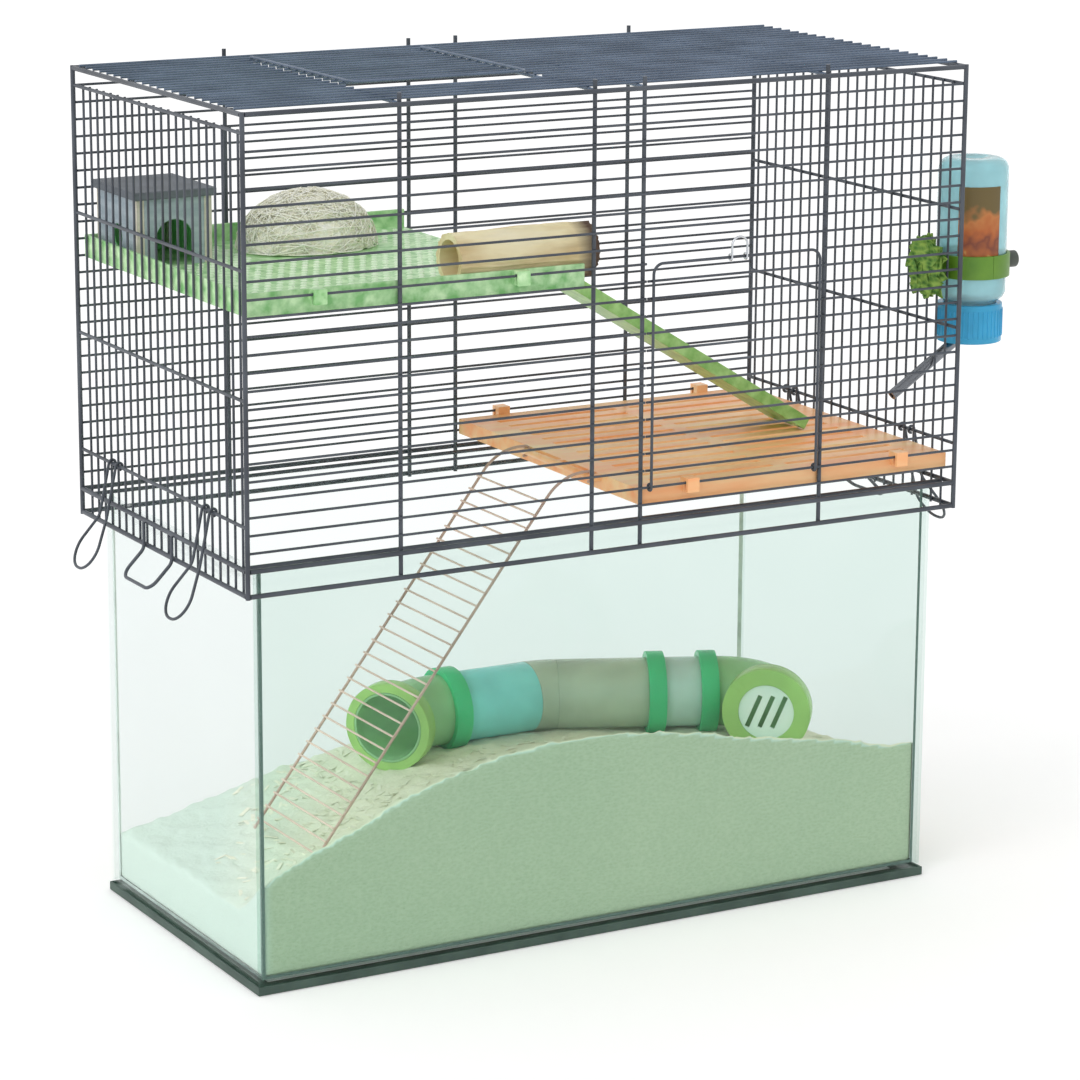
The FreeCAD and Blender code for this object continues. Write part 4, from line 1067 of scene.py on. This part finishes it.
def bottle_label():
    inner = BOTTLE_RADIUS + LABEL_GAP
    outer = BOTTLE_RADIUS + LABEL_PROUD
    bottom, top = (BOTTLE_HEIGHT * share for share in LABEL_HEIGHT)
    start = Vector((math.cos(LABEL_FROM), math.sin(LABEL_FROM), 0))
    rim = [(inner, bottom), (outer, bottom), (outer, top), (inner, top), (inner, bottom)]
    label = spun(rim, BOTTLE_FOOT, UP, start, LABEL_STEPS, LABEL_TURN)
    with editing(label):
        bpy.ops.mesh.fill_holes(sides=0)
        bpy.ops.mesh.normals_make_consistent(inside=False)
    return label


def cap_ribs():
    low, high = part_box("bottle_cap")
    centre = (low + high) / 2
    radius = (high.x - low.x) / 2
    bpy.ops.mesh.primitive_cube_add(size=1)
    rib = bpy.context.active_object
    rib.scale = (*RIB_SIZE, (high.z - low.z) * RIB_SHARE)
    bpy.ops.object.transform_apply(scale=True)
    with editing(rib):
        bpy.ops.mesh.bevel(offset=RIB_BEVEL, segments=1)
    places = []
    for number in range(RIB_COUNT):
        turn = Matrix.Rotation(math.tau * number / RIB_COUNT, 4, "Z")
        places.append(Matrix.Translation(centre) @ turn @ Matrix.Translation((radius, 0, 0)))
    return merged_copies(rib, places, "ribs")


def label_print():
    """Wavy bands of warm colours, from pale yellow at the foot to olive at the head."""
    material, shader = new_finish("label_print", roughness=0.45)
    bottom, top = (BOTTLE_LOW.z + BOTTLE_HEIGHT * share for share in LABEL_HEIGHT)
    wave = add_node(material, "ShaderNodeMath", operation="MULTIPLY_ADD")
    wave.inputs[1].default_value = LABEL_WAVE
    link(material, noise(material, scale=110, detail=1.5), wave.inputs[0])
    link(material, along(material, "Z", bottom, top, clamp=False), wave.inputs[2])
    bands = [(0.25, rgb(214, 186, 110)), (0.36, rgb(176, 98, 44)), (0.62, rgb(122, 62, 40)),
             (0.8, rgb(178, 96, 42)), (1.0, rgb(188, 118, 60)), (1.2, rgb(104, 88, 46))]
    stops = [(level / LABEL_SPAN, colour) for level, colour in bands]
    shades(material, shader, wave.outputs["Value"], stops)
    bump(material, shader, noise(material, scale=900, detail=2), depth=0.05 * MM, strength=0.4)
    return material


settle(hanging_bottle(), "hanging_bottle", "water_bottle", bottle_blue,
       ["bottle_body"])
settle(bottle_label(), "bottle_label", "water_bottle", label_print())
settle(cap_ribs(), "cap_ribs", "water_bottle", cap_blue)

# %% [markdown]
# ## Leaf pad
# The pad that holds the cradle inside the wires looks like a bunch of leaves. One leaf is a narrow
# grid tapered at both ends and folded along its rib, and the bunch fans copies of it over the pad's
# square. A smaller copy of the pad fills the middle.

# %% Leaves
LEAF_SIZE = (20 * MM, 9 * MM)
LEAF_COUNT = 78
LEAF_THICKNESS = 0.7 * MM
LEAF_FOLD = 2.4 * MM        # rise from the rib to the edge, over the leaf's whole width
LEAF_DROOP = 4 * MM         # fall from the middle to the tips, over the leaf's length squared
LEAF_ROUND = 0.6            # power that rounds the taper
LEAF_TIP = 0.08             # width left at the tips
LEAF_END = 0.499            # beyond this share of the length a point is a tip
LEAF_CROWD = 0.35           # power that crowds the leaves to the rim
LEAF_TILT = 0.25            # radians
PAD_SKIN = 2 * MM           # keeps the leaves' middles inside the pad
CORE_SHARE = (0.5, 0.6, 0.6, 1)


def one_leaf():
    bpy.ops.mesh.primitive_grid_add(x_subdivisions=4, y_subdivisions=2, size=1)
    leaf = bpy.context.active_object
    length, width = LEAF_SIZE
    for vertex in leaf.data.vertices:
        x, y, _ = vertex.co
        taper = math.cos(x * math.pi) ** LEAF_ROUND if abs(x) < LEAF_END else LEAF_TIP
        vertex.co = (x * length, y * width * taper, abs(y) * LEAF_FOLD - x * x * LEAF_DROOP)
    body = leaf.modifiers.new("body", "SOLIDIFY")
    body.thickness = LEAF_THICKNESS
    return apply_modifiers(leaf)


def leaf_pad():
    chance = random.Random(5)
    low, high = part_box("holder_pad")
    middle = (low + high) / 2
    reach = (high.y - low.y) / 2 - LEAF_SIZE[0] / 2
    rise = (high.z - low.z) / 2 - LEAF_SIZE[0] / 2
    face = Matrix.Rotation(-math.pi / 2, 4, "Y")
    places = []
    for _ in range(LEAF_COUNT):
        out = chance.random() ** LEAF_CROWD
        way = chance.uniform(0, math.tau)
        x = chance.uniform(low.x + PAD_SKIN, high.x - PAD_SKIN)
        y = middle.y + out * math.cos(way) * reach
        z = middle.z + out * math.sin(way) * rise
        spin = Matrix.Rotation(chance.uniform(0, math.tau), 4, "Z")
        tilt = Matrix.Rotation(chance.uniform(-LEAF_TILT, LEAF_TILT), 4, "Y")
        places.append(Matrix.Translation((x, y, z)) @ face @ spin @ tilt)
    bunch = merged_copies(one_leaf(), places, "bunch")
    for vertex in bunch.data.vertices:
        vertex.co.x = min(max(vertex.co.x, low.x), high.x)
    core = copy_of("holder_pad")
    shrink = Matrix.Diagonal(CORE_SHARE)
    core.data.transform(Matrix.Translation(middle) @ shrink @ Matrix.Translation(-middle))
    return joined([bunch, core])


settle(leaf_pad(), "leaf_pad", "wire_top", leaf_green, ["holder_pad"])

# %% [markdown]
# ## Soft edges
# Moulded plastic and painted board never end in a knife edge. A bevel that only takes sharp corners
# rounds the CAD pieces in place, so their faces and sizes stay as they were packed.

# %% Soft edges
SHARP_FROM = math.radians(50)


def soften(width, *names):
    for name in names:
        weld(NODES[name])
        edge = NODES[name].modifiers.new("soft edge", "BEVEL")
        edge.width = width
        edge.segments = 2
        edge.limit_method = "ANGLE"
        edge.angle_limit = SHARP_FROM


soften(0.5 * MM, "platform", "ramp", "shelf", "base_trim", "holder_cradle", "holder_strap",
       "strap_knob")
soften(0.6 * MM, "house_walls", "house_posts", "house_roof", "bottle_cap")
soften(0.5 * MM, *[name for name in NODES if name.startswith("tunnel_")])
print("soft edges on", sum(1 for node in NODES.values() if "soft edge" in node.modifiers), "nodes")
